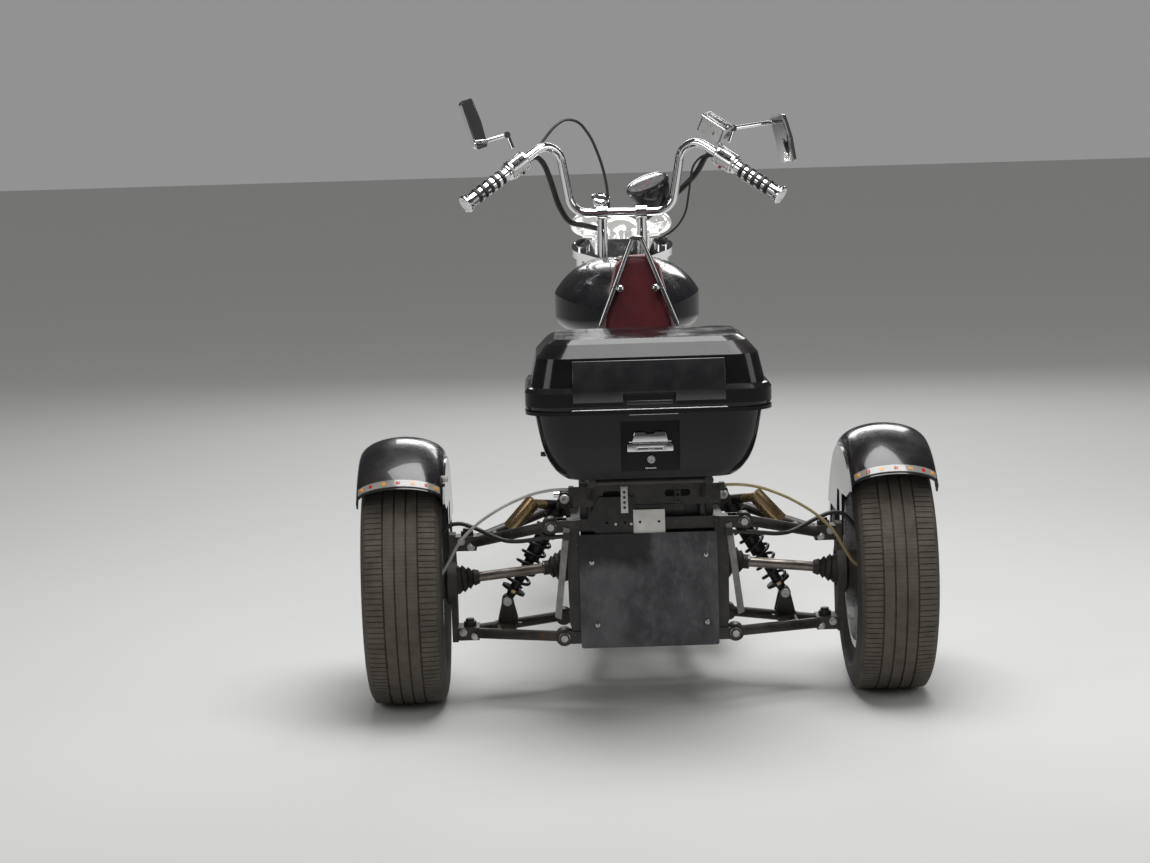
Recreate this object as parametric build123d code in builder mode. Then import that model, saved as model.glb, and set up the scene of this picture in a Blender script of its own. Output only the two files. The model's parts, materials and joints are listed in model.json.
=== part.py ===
from build123d import *
import os
from math import asin, cos, degrees, pi, radians, sin, sqrt, tan

# Motorized trike: a cruiser front and middle on an independent two-wheel rear axle.
# Millimetres; +X right, +Y forward, +Z up; origin on the ground under the middle of the length.

# Stance
wheelbase = 1700
track = 1140
case_overhang = 470
front_tyre_radius = 320
rear_tyre_radius = 289
overall_length = case_overhang + wheelbase + front_tyre_radius
rear_axle_y = case_overhang - overall_length / 2
front_axle_y = rear_axle_y + wheelbase
wheel_x = track / 2
press_gap = 0.3
running_gap = 6

# Rear tyres and wheels, 14 inch car size
rear_tyre_width = 187
rear_tread_width = 168
rear_tread_flat = 120
rear_rim_radius = 178
rear_bead_half = 70
rim_flange_width = 7
rim_flange_height = 11
rim_well_depth = 18
rim_wall = 6
spoke_count = 5
wheel_inset = 25
hub_face_radius = 72
drum_radius = 105
drum_width = 58
drum_wall = 8
spindle_radius = 25
bell_radius = 38
bell_width = 20
stud_circle = 50
stud_radius = 7
stud_count = 4

# Front wheel, 16 inch wire wheel
front_tyre_width = 130
front_tread_width = 104
front_tread_flat = 16
front_rim_radius = 203
front_bead_half = 40
front_hub_radius = 34
front_hub_half = 42
wire_radius = 2.5
wire_count = 24
front_disc_radius = 140
front_disc_thickness = 6

# Steering head and fork
rake = 33
fork_spacing = 224
fork_tube_radius = 20.5
slider_radius = 25
slider_length = 400
fork_offset = 60
upper_clamp_reach = 823
clamp_drop = 200
clamp_thickness = 26
head_tube_radius = 29
axle_radius = 10

# Rear suspension
pivot_spread = 250
upper_pivot_x = 225
upper_pivot_z = 434
lower_pivot_x = 200
lower_pivot_z = 171
upper_joint_z = 380
lower_joint_z = 164
upright_face_x = 452
upright_thickness = 20
wishbone_tube = 25
joint_block_length = 50
bush_radius = 20
bush_length = 38
lug_thickness = 6
leg_width = 30
shaft_radius = 12
inner_joint_x = 168
inner_joint_z = 320
outer_joint_x = 466
shock_y = rear_axle_y + 62
reservoir_y = rear_axle_y + 12
shock_low = (334, 226)
shock_high = (190, 470)
shock_body_radius = 16
spring_radius = 30
spring_wire = 8
spring_turns = 7

# Mudguards
guard_half_width = 100
guard_crown_radius = 346
guard_skirt_radius = 278
guard_shoulder_radius = 298
guard_wall = 4
guard_front_angle = 11
guard_rear_angle = 132
strip_depth = 3
strip_height = 20

# Main frame and body
rail_radius = 16
backbone_radius = 20
tank_top = 985
tank_belly = 805
tank_waist = 902
tank_half_width = 195
seat_rail_z = 690
seat_rail_x = 105
gearbox_rear_y = -256

# Top case
case_depth = 420
case_flange_z = 738
case_flange_width = 545
case_floor_z = 580
case_floor_width = 372
case_wall = 4
case_corner = 70
lid_top_z = 890
lid_gap = 0.5
hinge_y = -815
hinge_z = 738.25
hinge_x = 120
hinge_length = 26
hinge_radius = 7
hinge_reach = 14
hinge_plate = 6
pin_radius = 2.5

# Handlebar
bar_radius = 12.5
bar_clamp_z = 1107
bar_clamp_y = 425
grip_radius = 19

os.makedirs("parts", exist_ok=True)

front_axle = (0, front_axle_y, front_tyre_radius)


def rod(points, radius, bend=0, mode=Mode.ADD):
    # A round bar or tube along straight runs and arcs, added to the piece being built.
    if bend:
        with BuildLine():
            route = FilletPolyline(*points, radius=bend)
    else:
        with BuildLine():
            route = Line(*points)
    with BuildSketch(Plane(origin=route @ 0, z_dir=route % 0)) as section:
        Circle(radius)
    sweep(sections=section.sketch, path=route, mode=mode)


def on_fork(reach, back=0, x=0):
    # A point up the fork from the front axle, and behind the legs at right angles to them.
    y = front_axle_y - reach * sin(radians(rake)) - back * cos(radians(rake))
    z = front_tyre_radius + reach * cos(radians(rake)) - back * sin(radians(rake))
    return (x, y, z)


def wheel_plane(centre, side=1):
    # Sketch plane through an axle: local x runs outboard along it, local y is the radius.
    return Plane(origin=centre, x_dir=(side, 0, 0), z_dir=(0, -side, 0))


def tyre_section(radius, width, tread, flat, rim_radius, bead_half):
    # Closed section of a tyre from bead to bead.
    bead = rim_radius + press_gap
    belly = (radius + rim_radius) / 2
    shoulder = radius - (width - tread) / 3 - tread / 40
    with BuildLine() as outline:
        Line((-bead_half, bead), (bead_half, bead))
        Line((bead_half, bead), (bead_half, bead + rim_flange_height))
        ThreePointArc((bead_half, bead + rim_flange_height), (width / 2, belly), (tread / 2, shoulder))
        TangentArc((flat / 2, radius), (tread / 2, shoulder), tangent=(1, 0))
        Line((-flat / 2, radius), (flat / 2, radius))
        TangentArc((-flat / 2, radius), (-tread / 2, shoulder), tangent=(-1, 0))
        ThreePointArc((-tread / 2, shoulder), (-width / 2, belly), (-bead_half, bead + rim_flange_height))
        Line((-bead_half, bead + rim_flange_height), (-bead_half, bead))
    make_face(outline.edges())


# Rear tyres and alloy wheels, left (-1) and right (+1)
flange_x = rear_bead_half + 1
rim_outer = rear_rim_radius + rim_flange_height
well = rear_rim_radius - rim_well_depth
housing_radius = 45
backing_x = wheel_inset - drum_width - running_gap - 5
for side, name in ((-1, "rear_left"), (1, "rear_right")):
    centre = (side * wheel_x, rear_axle_y, rear_tyre_radius)
    plane = wheel_plane(centre, side)
    spin = Axis(centre, (1, 0, 0))
    with BuildPart() as rear_tyre:
        with BuildSketch(plane):
            tyre_section(
                rear_tyre_radius,
                rear_tyre_width,
                rear_tread_width,
                rear_tread_flat,
                rear_rim_radius,
                rear_bead_half,
            )
        revolve(axis=spin)
    rear_tyre.part.label = name + "_tyre"
    export_step(rear_tyre.part, "parts/" + name + "_tyre.step")

    with BuildPart() as rear_wheel:
        # rim barrel with flanges and drop centre
        with BuildSketch(plane):
            with BuildLine():
                Polyline(
                    (-flange_x - rim_flange_width, rim_outer),
                    (-flange_x, rim_outer),
                    (-flange_x, rear_rim_radius),
                    (-45, rear_rim_radius),
                    (-36, well),
                    (22, well),
                    (32, rear_rim_radius),
                    (flange_x, rear_rim_radius),
                    (flange_x, rim_outer),
                    (flange_x + rim_flange_width, rim_outer),
                    (flange_x + rim_flange_width - 2, rear_rim_radius - rim_wall),
                    (36, rear_rim_radius - rim_wall),
                    (26, well - rim_wall),
                    (-40, well - rim_wall),
                    (-49, rear_rim_radius - rim_wall),
                    (-flange_x - rim_flange_width, rear_rim_radius - rim_wall),
                    close=True,
                )
            make_face()
        revolve(axis=spin)
        # dished face, pierced to leave the spokes
        with BuildSketch(plane):
            with BuildLine():
                Polyline(
                    (wheel_inset, 0),
                    (wheel_inset, hub_face_radius),
                    (wheel_inset + 5, well - rim_wall / 2),
                    (wheel_inset + 1, well - rim_wall / 2),
                    (wheel_inset + 17, well - rim_wall / 2),
                    (wheel_inset + 24, hub_face_radius),
                    (wheel_inset + 12, hub_face_radius - 10),
                    (wheel_inset + 12, 0),
                    close=True,
                )
            make_face()
        revolve(axis=spin)
        face_plane = Plane(origin=centre, x_dir=(0, 0, 1), z_dir=(side, 0, 0))
        with BuildSketch(face_plane):
            with PolarLocations(108, spoke_count):
                with BuildLine():
                    Polyline((-28, -26), (36, -66), (36, 66), (-28, 26), close=True)
                make_face()
            fillet(vertices(), 9)
        extrude(amount=wheel_inset + 40, mode=Mode.SUBTRACT)
        with BuildSketch(face_plane.offset(wheel_inset)):
            with PolarLocations(stud_circle, stud_count, start_angle=45):
                Circle(stud_radius)
        extrude(amount=20)
        # brake drum, open inboard, then the spindle and the bell of the outer joint
        with BuildSketch(plane):
            with BuildLine():
                Polyline(
                    (wheel_inset - drum_width, drum_radius),
                    (wheel_inset, drum_radius),
                    (wheel_inset, 0),
                    (-bell_width - 84, 0),
                    (-bell_width - 84, bell_radius),
                    (-84, bell_radius),
                    (-84, spindle_radius),
                    (wheel_inset - drum_wall, spindle_radius),
                    (wheel_inset - drum_wall, drum_radius - drum_wall),
                    (wheel_inset - drum_width, drum_radius - drum_wall),
                    close=True,
                )
            make_face()
        revolve(axis=spin)
    rear_wheel.part.label = name + "_wheel"
    export_step(rear_wheel.part, "parts/" + name + "_wheel.step")

# Front tyre and wire wheel
front_plane = wheel_plane(front_axle)
front_spin = Axis(front_axle, (1, 0, 0))
with BuildPart() as front_tyre:
    with BuildSketch(front_plane):
        tyre_section(
            front_tyre_radius,
            front_tyre_width,
            front_tread_width,
            front_tread_flat,
            front_rim_radius,
            front_bead_half,
        )
    revolve(axis=front_spin)
front_tyre.part.label = "front_tyre"
export_step(front_tyre.part, "parts/front_tyre.step")

front_rim_inner = front_rim_radius - 16
with BuildPart() as front_wheel:
    with BuildSketch(front_plane):
        with BuildLine():
            Polyline(
                (-front_bead_half - 6, front_rim_radius + rim_flange_height - 2),
                (-front_bead_half - 1, front_rim_radius + rim_flange_height - 2),
                (-front_bead_half - 1, front_rim_radius),
                (front_bead_half + 1, front_rim_radius),
                (front_bead_half + 1, front_rim_radius + rim_flange_height - 2),
                (front_bead_half + 6, front_rim_radius + rim_flange_height - 2),
                (front_bead_half + 6, front_rim_radius - 4),
                (18, front_rim_inner),
                (-18, front_rim_inner),
                (-front_bead_half - 6, front_rim_radius - 4),
                close=True,
            )
        make_face()
    revolve(axis=front_spin)
    # hub with two flanges, bored for the axle
    with BuildSketch(front_plane):
        with BuildLine():
            Polyline(
                (-front_hub_half, axle_radius + press_gap),
                (-front_hub_half, front_hub_radius),
                (-front_hub_half + 8, front_hub_radius + 12),
                (-front_hub_half + 14, front_hub_radius + 12),
                (-front_hub_half + 20, front_hub_radius - 8),
                (front_hub_half - 20, front_hub_radius - 8),
                (front_hub_half - 14, front_hub_radius + 12),
                (front_hub_half - 8, front_hub_radius + 12),
                (front_hub_half, front_hub_radius),
                (front_hub_half, axle_radius + press_gap),
                close=True,
            )
        make_face()
    revolve(axis=front_spin)
    # crossed wires from the hub flanges to the rim
    for number in range(wire_count):
        flange = 1 if number % 2 else -1
        lean = 24 if number % 4 < 2 else -24
        turn = 360 / wire_count * number
        hub_angle = radians(turn + lean)
        rim_angle = radians(turn)
        hub_r = front_hub_radius + 6
        rim_r = front_rim_inner + 3
        start = (
            flange * (front_hub_half - 11),
            front_axle_y + hub_r * cos(hub_angle),
            front_tyre_radius + hub_r * sin(hub_angle),
        )
        end = (
            flange * 8,
            front_axle_y + rim_r * cos(rim_angle),
            front_tyre_radius + rim_r * sin(rim_angle),
        )
        rod([start, end], wire_radius)
    # brake disc on the left flange
    disc_x = -front_hub_half - front_disc_thickness
    with BuildSketch(Plane(origin=(disc_x, front_axle_y, front_tyre_radius), z_dir=(1, 0, 0))):
        Circle(front_disc_radius)
        Circle(front_hub_radius - 6, mode=Mode.SUBTRACT)
        with PolarLocations(front_disc_radius - 50, 6):
            Circle(20, mode=Mode.SUBTRACT)
    extrude(amount=front_disc_thickness)
front_wheel.part.label = "front_wheel"
export_step(front_wheel.part, "parts/front_wheel.step")

# Half shafts with ribbed boots, each turned about its own sloping axis
shaft_slope = Vector(outer_joint_x - inner_joint_x, 0, rear_tyre_radius - inner_joint_z)
for side, name in ((-1, "half_shaft_left"), (1, "half_shaft_right")):
    start = Vector(side * inner_joint_x, rear_axle_y, inner_joint_z)
    along = Vector(side * shaft_slope.X, 0, shaft_slope.Z)
    length = along.length - running_gap
    shaft_plane = Plane(origin=start, x_dir=along, z_dir=(0, -side, 0))
    boot = [
        (length - 62, shaft_radius + 4),
        (length - 50, 20),
        (length - 46, 17),
        (length - 38, 27),
        (length - 34, 22),
        (length - 24, 33),
        (length - 20, 28),
        (length - 12, 35),
        (length, 35),
    ]
    cup = [
        # along, radius
        (0, 38),
        (34, 38),
        (40, 30),
        (46, 33),
        (52, 24),
        (57, 27),
        (64, 17),
        (78, 17),
        (80, shaft_radius),
    ]
    with BuildPart() as half_shaft:
        with BuildSketch(shaft_plane):
            with BuildLine():
                Polyline((0, 0), *cup, (length - 62, shaft_radius), *boot, (length, 0), close=True)
            make_face()
        revolve(axis=Axis(start, along))
    half_shaft.part.label = name
    export_step(half_shaft.part, "parts/" + name + ".step")

# Uprights: bored housings behind the rear wheels, with arms to the wishbones
arm_top_z = upper_joint_z + 22
arm_foot_z = lower_joint_z - 20
with BuildPart() as uprights:
    for side in (-1, 1):
        centre = (side * wheel_x, rear_axle_y, rear_tyre_radius)
        face_a = upright_face_x - wheel_x
        rear_a = face_a + upright_thickness
        with BuildSketch(wheel_plane(centre, side)):
            with BuildLine():
                Polyline(
                    (face_a, bell_radius + running_gap),
                    (face_a, bell_radius + 20),
                    (rear_a, bell_radius + 20),
                    (rear_a + 8, housing_radius),
                    (backing_x, housing_radius),
                    (backing_x, drum_radius),
                    (backing_x + 5, drum_radius),
                    (backing_x + 5, spindle_radius + press_gap),
                    (-78, spindle_radius + press_gap),
                    (-78, bell_radius + running_gap),
                    close=True,
                )
            make_face()
        revolve(axis=Axis(centre, (1, 0, 0)))
        arm_plane = Plane(origin=(side * upright_face_x, 0, 0), x_dir=(0, side, 0), z_dir=(side, 0, 0))
        with BuildSketch(arm_plane):
            with BuildLine():
                y = side * rear_axle_y
                Polyline(
                    (y - 24, arm_top_z),
                    (y + 24, arm_top_z),
                    (y + 30, rear_tyre_radius + 40),
                    (y + 46, rear_tyre_radius),
                    (y + 34, arm_foot_z + 30),
                    (y + 28, arm_foot_z),
                    (y - 28, arm_foot_z),
                    (y - 34, arm_foot_z + 30),
                    (y - 46, rear_tyre_radius),
                    (y - 30, rear_tyre_radius + 40),
                    close=True,
                )
            make_face()
            with Locations((y, rear_tyre_radius)):
                Circle(bell_radius + running_gap, mode=Mode.SUBTRACT)
        extrude(amount=upright_thickness - 6)
uprights.part.label = "uprights"
export_step(uprights.part, "parts/uprights.step")

# Wishbones: two tubes from the pivot bushes to a joint block at the upright
joint_inner_x = upright_face_x - joint_block_length
tie_share = 0.76
wishbone_levels = (
    # name, pivot x, pivot z, joint z, block height, block half width
    ("upper_wishbones", upper_pivot_x, upper_pivot_z, upper_joint_z, 34, 26),
    ("lower_wishbones", lower_pivot_x, lower_pivot_z, lower_joint_z, 30, 34),
)
for name, pivot_x, pivot_z, joint_z, block_height, block_half in wishbone_levels:
    with BuildPart() as wishbones:
        for side in (-1, 1):
            for end in (-1, 1):
                pivot = (side * pivot_x, rear_axle_y + end * pivot_spread / 2, pivot_z)
                with BuildSketch(Plane(origin=pivot, z_dir=(0, 1, 0))):
                    Circle(bush_radius)
                extrude(amount=bush_length / 2, both=True)
                block = (side * (joint_inner_x + 12), rear_axle_y + end * (block_half - 13), joint_z)
                rod([pivot, block], wishbone_tube / 2)
            tie = side * (pivot_x + (joint_inner_x - pivot_x) * tie_share)
            tie_z = pivot_z + (joint_z - pivot_z) * tie_share
            tie_half = pivot_spread / 2 + (block_half - 13 - pivot_spread / 2) * tie_share
            rod([(tie, rear_axle_y - tie_half, tie_z), (tie, rear_axle_y + tie_half, tie_z)], 9)
            with Locations((side * (joint_inner_x + joint_block_length / 2), rear_axle_y, joint_z)):
                Box(joint_block_length, 2 * block_half, block_height)
            # locking stack on the joint block
            with BuildSketch(Plane.XY.offset(joint_z + block_height / 2)):
                with Locations((side * (joint_inner_x + 22), rear_axle_y)):
                    Circle(15)
            extrude(amount=10)
            with BuildSketch(Plane.XY.offset(joint_z + block_height / 2 + 10)):
                with Locations((side * (joint_inner_x + 22), rear_axle_y)):
                    Circle(10)
            extrude(amount=7)
    if name == "lower_wishbones":
        with BuildPart() as wishbones_with_eyes:
            add(wishbones.part)
            # brackets that carry the lower shock eyes
            for side in (-1, 1):
                for face in (-1, 1):
                    lug_y = shock_y + face * (shock_body_radius + lug_thickness / 2 + press_gap)
                    with BuildSketch(Plane(origin=(0, lug_y, 0), x_dir=(side, 0, 0), z_dir=(0, -side, 0))):
                        with BuildLine():
                            Polyline(
                                (shock_low[0] - 26, joint_z + 6),
                                (shock_low[0] + 26, joint_z + 6),
                                (shock_low[0] + 11, shock_low[1] + 8),
                                (shock_low[0] - 11, shock_low[1] + 8),
                                close=True,
                            )
                        make_face()
                        fillet(vertices().sort_by(Axis.Z)[-2:], 6)
                    extrude(amount=lug_thickness / 2, both=True)
                with Locations((side * shock_low[0], shock_y, joint_z + 4)):
                    Box(64, 2 * shock_body_radius + 2 * lug_thickness + 1, 10)
                arm_y = rear_axle_y + block_half - 13
                with Locations((side * shock_low[0], (shock_y + arm_y) / 2, joint_z + 2)):
                    Box(40, shock_y - arm_y + 30, 14)
        wishbones = wishbones_with_eyes
    wishbones.part.label = name
    export_step(wishbones.part, "parts/" + name + ".step")

# Coil-over shocks with piggyback reservoirs
shock_run = Vector(shock_high[0] - shock_low[0], 0, shock_high[1] - shock_low[1])
shock_length = shock_run.length
spring_start = 34
spring_end = shock_length - 62
spring_pitch = (spring_end - spring_start) / spring_turns
with BuildPart() as shock_bodies:
    for side in (-1, 1):
        low = Vector(side * shock_low[0], shock_y, shock_low[1])
        along = Vector(side * shock_run.X, 0, shock_run.Z)
        shock_plane = Plane(origin=low, x_dir=along, z_dir=(0, -1, 0))
        section = [
            (10, 0),
            (10, 10),
            (spring_start - 8, 12),
            (spring_start - 8, spring_radius),
            (spring_start - 1, spring_radius),
            (spring_start - 1, 9),
            (spring_start + 80, 9),
            (spring_start + 80, shock_body_radius + 3),
            (spring_end + 1, shock_body_radius + 3),
            (spring_end + 1, spring_radius),
            (spring_end + 8, spring_radius),
            (spring_end + 8, shock_body_radius + 4),
            (shock_length - 34, shock_body_radius + 4),
            (shock_length - 34, shock_body_radius - 2),
            (shock_length - 12, shock_body_radius - 2),
            (shock_length - 12, 0),
        ]
        with BuildSketch(shock_plane):
            with BuildLine():
                Polyline(*section, close=True)
            make_face()
        revolve(axis=Axis(low, along))
        for eye in (low, low + along):
            with BuildSketch(Plane(origin=eye, z_dir=(0, 1, 0))):
                Circle(14)
            extrude(amount=shock_body_radius, both=True)
        # reservoir outboard of the body, on a bridge from its head
        foot = Vector(side * 322, reservoir_y, 408)
        top = Vector(side * 262, reservoir_y, 474)
        rod([tuple(foot), tuple(top)], 19)
        bridge_from = top - (top - foot) * 0.12
        bridge_to = (side * (shock_high[0] + 23), shock_y, shock_high[1] - 15)
        rod([tuple(bridge_from), bridge_to], 11)
shock_bodies.part.label = "shock_bodies"
export_step(shock_bodies.part, "parts/shock_bodies.step")

# Springs: turns of wire as rings round the shock, standing on the lower collar
with BuildPart() as shock_springs:
    for side in (-1, 1):
        low = Vector(side * shock_low[0], shock_y, shock_low[1])
        along = Vector(side * shock_run.X, 0, shock_run.Z)
        shock_plane = Plane(origin=low, x_dir=along, z_dir=(0, -1, 0))
        inner = spring_radius - spring_wire
        points = [(spring_start, inner - 2)]
        for turn in range(spring_turns):
            at = spring_start + spring_pitch * turn
            points += [
                (at + 0.5, inner),
                (at + spring_pitch / 2 - spring_wire / 2, inner),
                (at + spring_pitch / 2 - spring_wire / 4, spring_radius),
                (at + spring_pitch / 2 + spring_wire / 4, spring_radius),
                (at + spring_pitch / 2 + spring_wire / 2, inner),
            ]
        points += [(spring_end - 0.5, inner), (spring_end, inner - 2)]
        with BuildSketch(shock_plane):
            with BuildLine():
                Polyline(*points, close=True)
            make_face()
        revolve(axis=Axis(low, along))
shock_springs.part.label = "shock_springs"
export_step(shock_springs.part, "parts/shock_springs.step")


def guard_section(crown, shoulder, skirt, half_width, wall):
    # Section across a mudguard: upright skirts under a domed crown.
    rise = crown - shoulder
    inner = half_width - wall
    with BuildLine() as outline:
        Line((-half_width, skirt), (-half_width, shoulder))
        EllipticalCenterArc((0, shoulder), half_width, rise, start_angle=0, arc_size=180)
        Line((half_width, shoulder), (half_width, skirt))
        Line((half_width, skirt), (inner, skirt))
        Line((inner, skirt), (inner, shoulder))
        EllipticalCenterArc((0, shoulder), inner, rise - wall, start_angle=0, arc_size=180)
        Line((-inner, shoulder), (-inner, skirt))
        Line((-inner, skirt), (-half_width, skirt))
    make_face(outline.edges())


def spoke_plane(centre, angle):
    # Sketch plane through an axle at an angle round it: 0 points forward, 90 up. Local y is the radius.
    turn = radians(angle)
    return Plane(origin=centre, x_dir=(1, 0, 0), z_dir=(0, -sin(turn), cos(turn)))


# Rear mudguards, each with a deep inner wall footed on the upright
guard_arc = guard_rear_angle - guard_front_angle
guard_wall_x = upright_face_x + upright_thickness - 6
guard_wall_depth = wheel_x - guard_half_width - guard_wall_x + 0.5
guard_wall_radius = guard_shoulder_radius - 2
guard_wall_points = (
    # run forward of the axle, height above the ground, from the front round the lower edge to the rear
    (248, 415),
    (84, 415),
    (66, 474),
    (22, 474),
    (18, arm_top_z - 30),
    (-18, arm_top_z - 30),
    (-22, 474),
    (-120, 480),
    (-196, 504),
)
with BuildPart() as mudguards:
    for side in (-1, 1):
        centre = (side * wheel_x, rear_axle_y, rear_tyre_radius)
        with BuildSketch(spoke_plane(centre, guard_front_angle)):
            guard_section(
                guard_crown_radius, guard_shoulder_radius, guard_skirt_radius, guard_half_width, guard_wall
            )
        revolve(axis=Axis(centre, (1, 0, 0)), revolution_arc=guard_arc)
        with BuildSketch(Plane(origin=(side * guard_wall_x, 0, 0), x_dir=(0, side, 0), z_dir=(side, 0, 0))):
            with BuildLine():
                edge = [(side * (rear_axle_y + run), height) for run, height in guard_wall_points]
                low_height = guard_wall_points[0][1]
                end_height = guard_wall_points[-1][1]
                front_turn = asin((low_height - rear_tyre_radius) / guard_wall_radius)
                rear_turn = pi - asin((end_height - rear_tyre_radius) / guard_wall_radius)
                arc = []
                for turn in (front_turn, (front_turn + rear_turn) / 2, rear_turn):
                    arc_y = rear_axle_y + guard_wall_radius * cos(turn)
                    arc.append((side * arc_y, rear_tyre_radius + guard_wall_radius * sin(turn)))
                Polyline(arc[0], *edge, arc[2])
                ThreePointArc(*arc)
            make_face()
        extrude(amount=guard_wall_depth)
mudguards.part.label = "mudguards"
export_step(mudguards.part, "parts/mudguards.step")

# Lamp strips wrapped over the rear lips
strip_arc = degrees(strip_height / guard_crown_radius)
strip_turn = 24
with BuildPart() as tail_lamp_strips:
    for side in (-1, 1):
        centre = (side * wheel_x, rear_axle_y, rear_tyre_radius)
        strip_angle = guard_rear_angle - strip_arc - 1
        rise = guard_crown_radius - guard_shoulder_radius
        foot = (0, guard_shoulder_radius)
        sweep_turn = 180 - 2 * strip_turn
        with BuildSketch(spoke_plane(centre, strip_angle)):
            with BuildLine():
                reach = guard_half_width + strip_depth
                inside = EllipticalCenterArc(foot, guard_half_width, rise, strip_turn, arc_size=sweep_turn)
                high = rise + strip_depth
                outside = EllipticalCenterArc(foot, reach, high, strip_turn, arc_size=sweep_turn)
                Line(inside @ 0, outside @ 0)
                Line(inside @ 1, outside @ 1)
            make_face()
        revolve(axis=Axis(centre, (1, 0, 0)), revolution_arc=strip_arc)
tail_lamp_strips.part.label = "tail_lamp_strips"
export_step(tail_lamp_strips.part, "parts/tail_lamp_strips.step")

# Rear subframe: square tube box with four sloping legs and pivot lugs
box_half = pivot_spread / 2
leg_top_x = upper_pivot_x - 52
leg_foot_x = lower_pivot_x + 4
box_tube = 28
with BuildPart() as rear_subframe:
    for end in (-1, 1):
        pivot_y = rear_axle_y + end * box_half
        # legs
        for side in (-1, 1):
            with BuildSketch(Plane(origin=(0, pivot_y, 0), x_dir=(side, 0, 0), z_dir=(0, -side, 0))):
                with BuildLine():
                    Polyline(
                        (leg_top_x - leg_width / 2, upper_pivot_z + 14),
                        (leg_top_x + leg_width / 2, upper_pivot_z + 14),
                        (leg_foot_x - 18, lower_pivot_z + bush_radius + 14),
                        (leg_foot_x - 30, lower_pivot_z - 14),
                        (leg_foot_x - 52, lower_pivot_z - 14),
                        (leg_foot_x - 48, lower_pivot_z + bush_radius + 14),
                        close=True,
                    )
                make_face()
            extrude(amount=bush_length / 2 + press_gap, both=True)
            # lugs each side of the bushes
            for face in (-1, 1):
                lug_y = pivot_y + face * (bush_length / 2 + press_gap + lug_thickness / 2)
                for pivot_x, pivot_z, root_x in (
                    (upper_pivot_x, upper_pivot_z, leg_top_x),
                    (lower_pivot_x, lower_pivot_z, leg_foot_x - 40),
                ):
                    with BuildSketch(Plane(origin=(0, lug_y, 0), x_dir=(side, 0, 0), z_dir=(0, -side, 0))):
                        with BuildLine():
                            Polyline(
                                (root_x - 6, pivot_z - 14),
                                (pivot_x, pivot_z - 14),
                                (pivot_x + 8, pivot_z),
                                (pivot_x, pivot_z + 14),
                                (root_x - 6, pivot_z + 14),
                                close=True,
                            )
                        make_face()
                    extrude(amount=lug_thickness / 2, both=True)
        # cross tubes
        with Locations((0, pivot_y, upper_pivot_z)):
            Box(2 * leg_top_x, box_tube, box_tube)
        with Locations((0, pivot_y, lower_pivot_z)):
            Box(2 * (leg_foot_x - 42), box_tube, box_tube)
    # rails between the ends
    for side in (-1, 1):
        with Locations((side * (leg_top_x - 10), rear_axle_y, upper_pivot_z)):
            Box(box_tube, pivot_spread, box_tube)
        with Locations((side * (leg_foot_x - 42 - box_tube / 2), rear_axle_y, lower_pivot_z)):
            Box(box_tube, pivot_spread, box_tube)
    # shock turrets on the upper rails
    for side in (-1, 1):
        for face in (-1, 1):
            lug_y = shock_y + face * (shock_body_radius + lug_thickness / 2 + press_gap)
            with BuildSketch(Plane(origin=(0, lug_y, 0), x_dir=(side, 0, 0), z_dir=(0, -side, 0))):
                with BuildLine():
                    Polyline(
                        (leg_top_x - 24, upper_pivot_z - 14),
                        (leg_top_x + 4, upper_pivot_z - 14),
                        (shock_high[0] + 16, shock_high[1] - 6),
                        (shock_high[0] + 10, shock_high[1] + 16),
                        (shock_high[0] - 26, shock_high[1] + 16),
                        close=True,
                    )
                make_face()
            extrude(amount=lug_thickness / 2, both=True)
rear_subframe.part.label = "rear_subframe"
export_step(rear_subframe.part, "parts/rear_subframe.step")

# Rear panel: folded steel plate behind the lower box
panel_half_width = 161
panel_low_z = 146
panel_high_z = 414
panel_y = rear_axle_y - box_half - bush_length / 2 - lug_thickness - 1
with BuildPart() as rear_panel:
    with BuildSketch(Plane(origin=(0, panel_y, 0), x_dir=(1, 0, 0), z_dir=(0, -1, 0))):
        with Locations((0, (panel_low_z + panel_high_z) / 2)):
            Rectangle(2 * panel_half_width, panel_high_z - panel_low_z)
        fillet(vertices(), 6)
    extrude(amount=3)
    for side in (-1, 1):
        with Locations((side * (panel_half_width - 16), panel_y + 3, (panel_low_z + panel_high_z) / 2)):
            Box(20, 6, panel_high_z - panel_low_z - 20)
rear_panel.part.label = "rear_panel"
export_step(rear_panel.part, "parts/rear_panel.step")

# Final drive: ribbed housing, flanged cover and the drive shaft tube
drive_half = inner_joint_x - running_gap
with BuildPart() as final_drive:
    drive_plane = Plane(origin=(0, rear_axle_y, inner_joint_z), x_dir=(1, 0, 0), z_dir=(0, -1, 0))
    with BuildSketch(drive_plane):
        with BuildLine():
            Polyline(
                (-drive_half, 0),
                (-drive_half, 34),
                (-drive_half + 10, 44),
                (-92, 50),
                (-64, 82),
                (-14, 92),
                (14, 92),
                (64, 82),
                (92, 50),
                (drive_half - 10, 44),
                (drive_half, 34),
                (drive_half, 0),
                close=True,
            )
        make_face()
    revolve(axis=Axis((0, rear_axle_y, inner_joint_z), (1, 0, 0)))
    rod([(0, rear_axle_y, inner_joint_z), (0, gearbox_rear_y, inner_joint_z)], 28)
    rod([(0, rear_axle_y + 60, inner_joint_z), (0, rear_axle_y + 110, inner_joint_z)], 52)
final_drive.part.label = "final_drive"
export_step(final_drive.part, "parts/final_drive.step")

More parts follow.
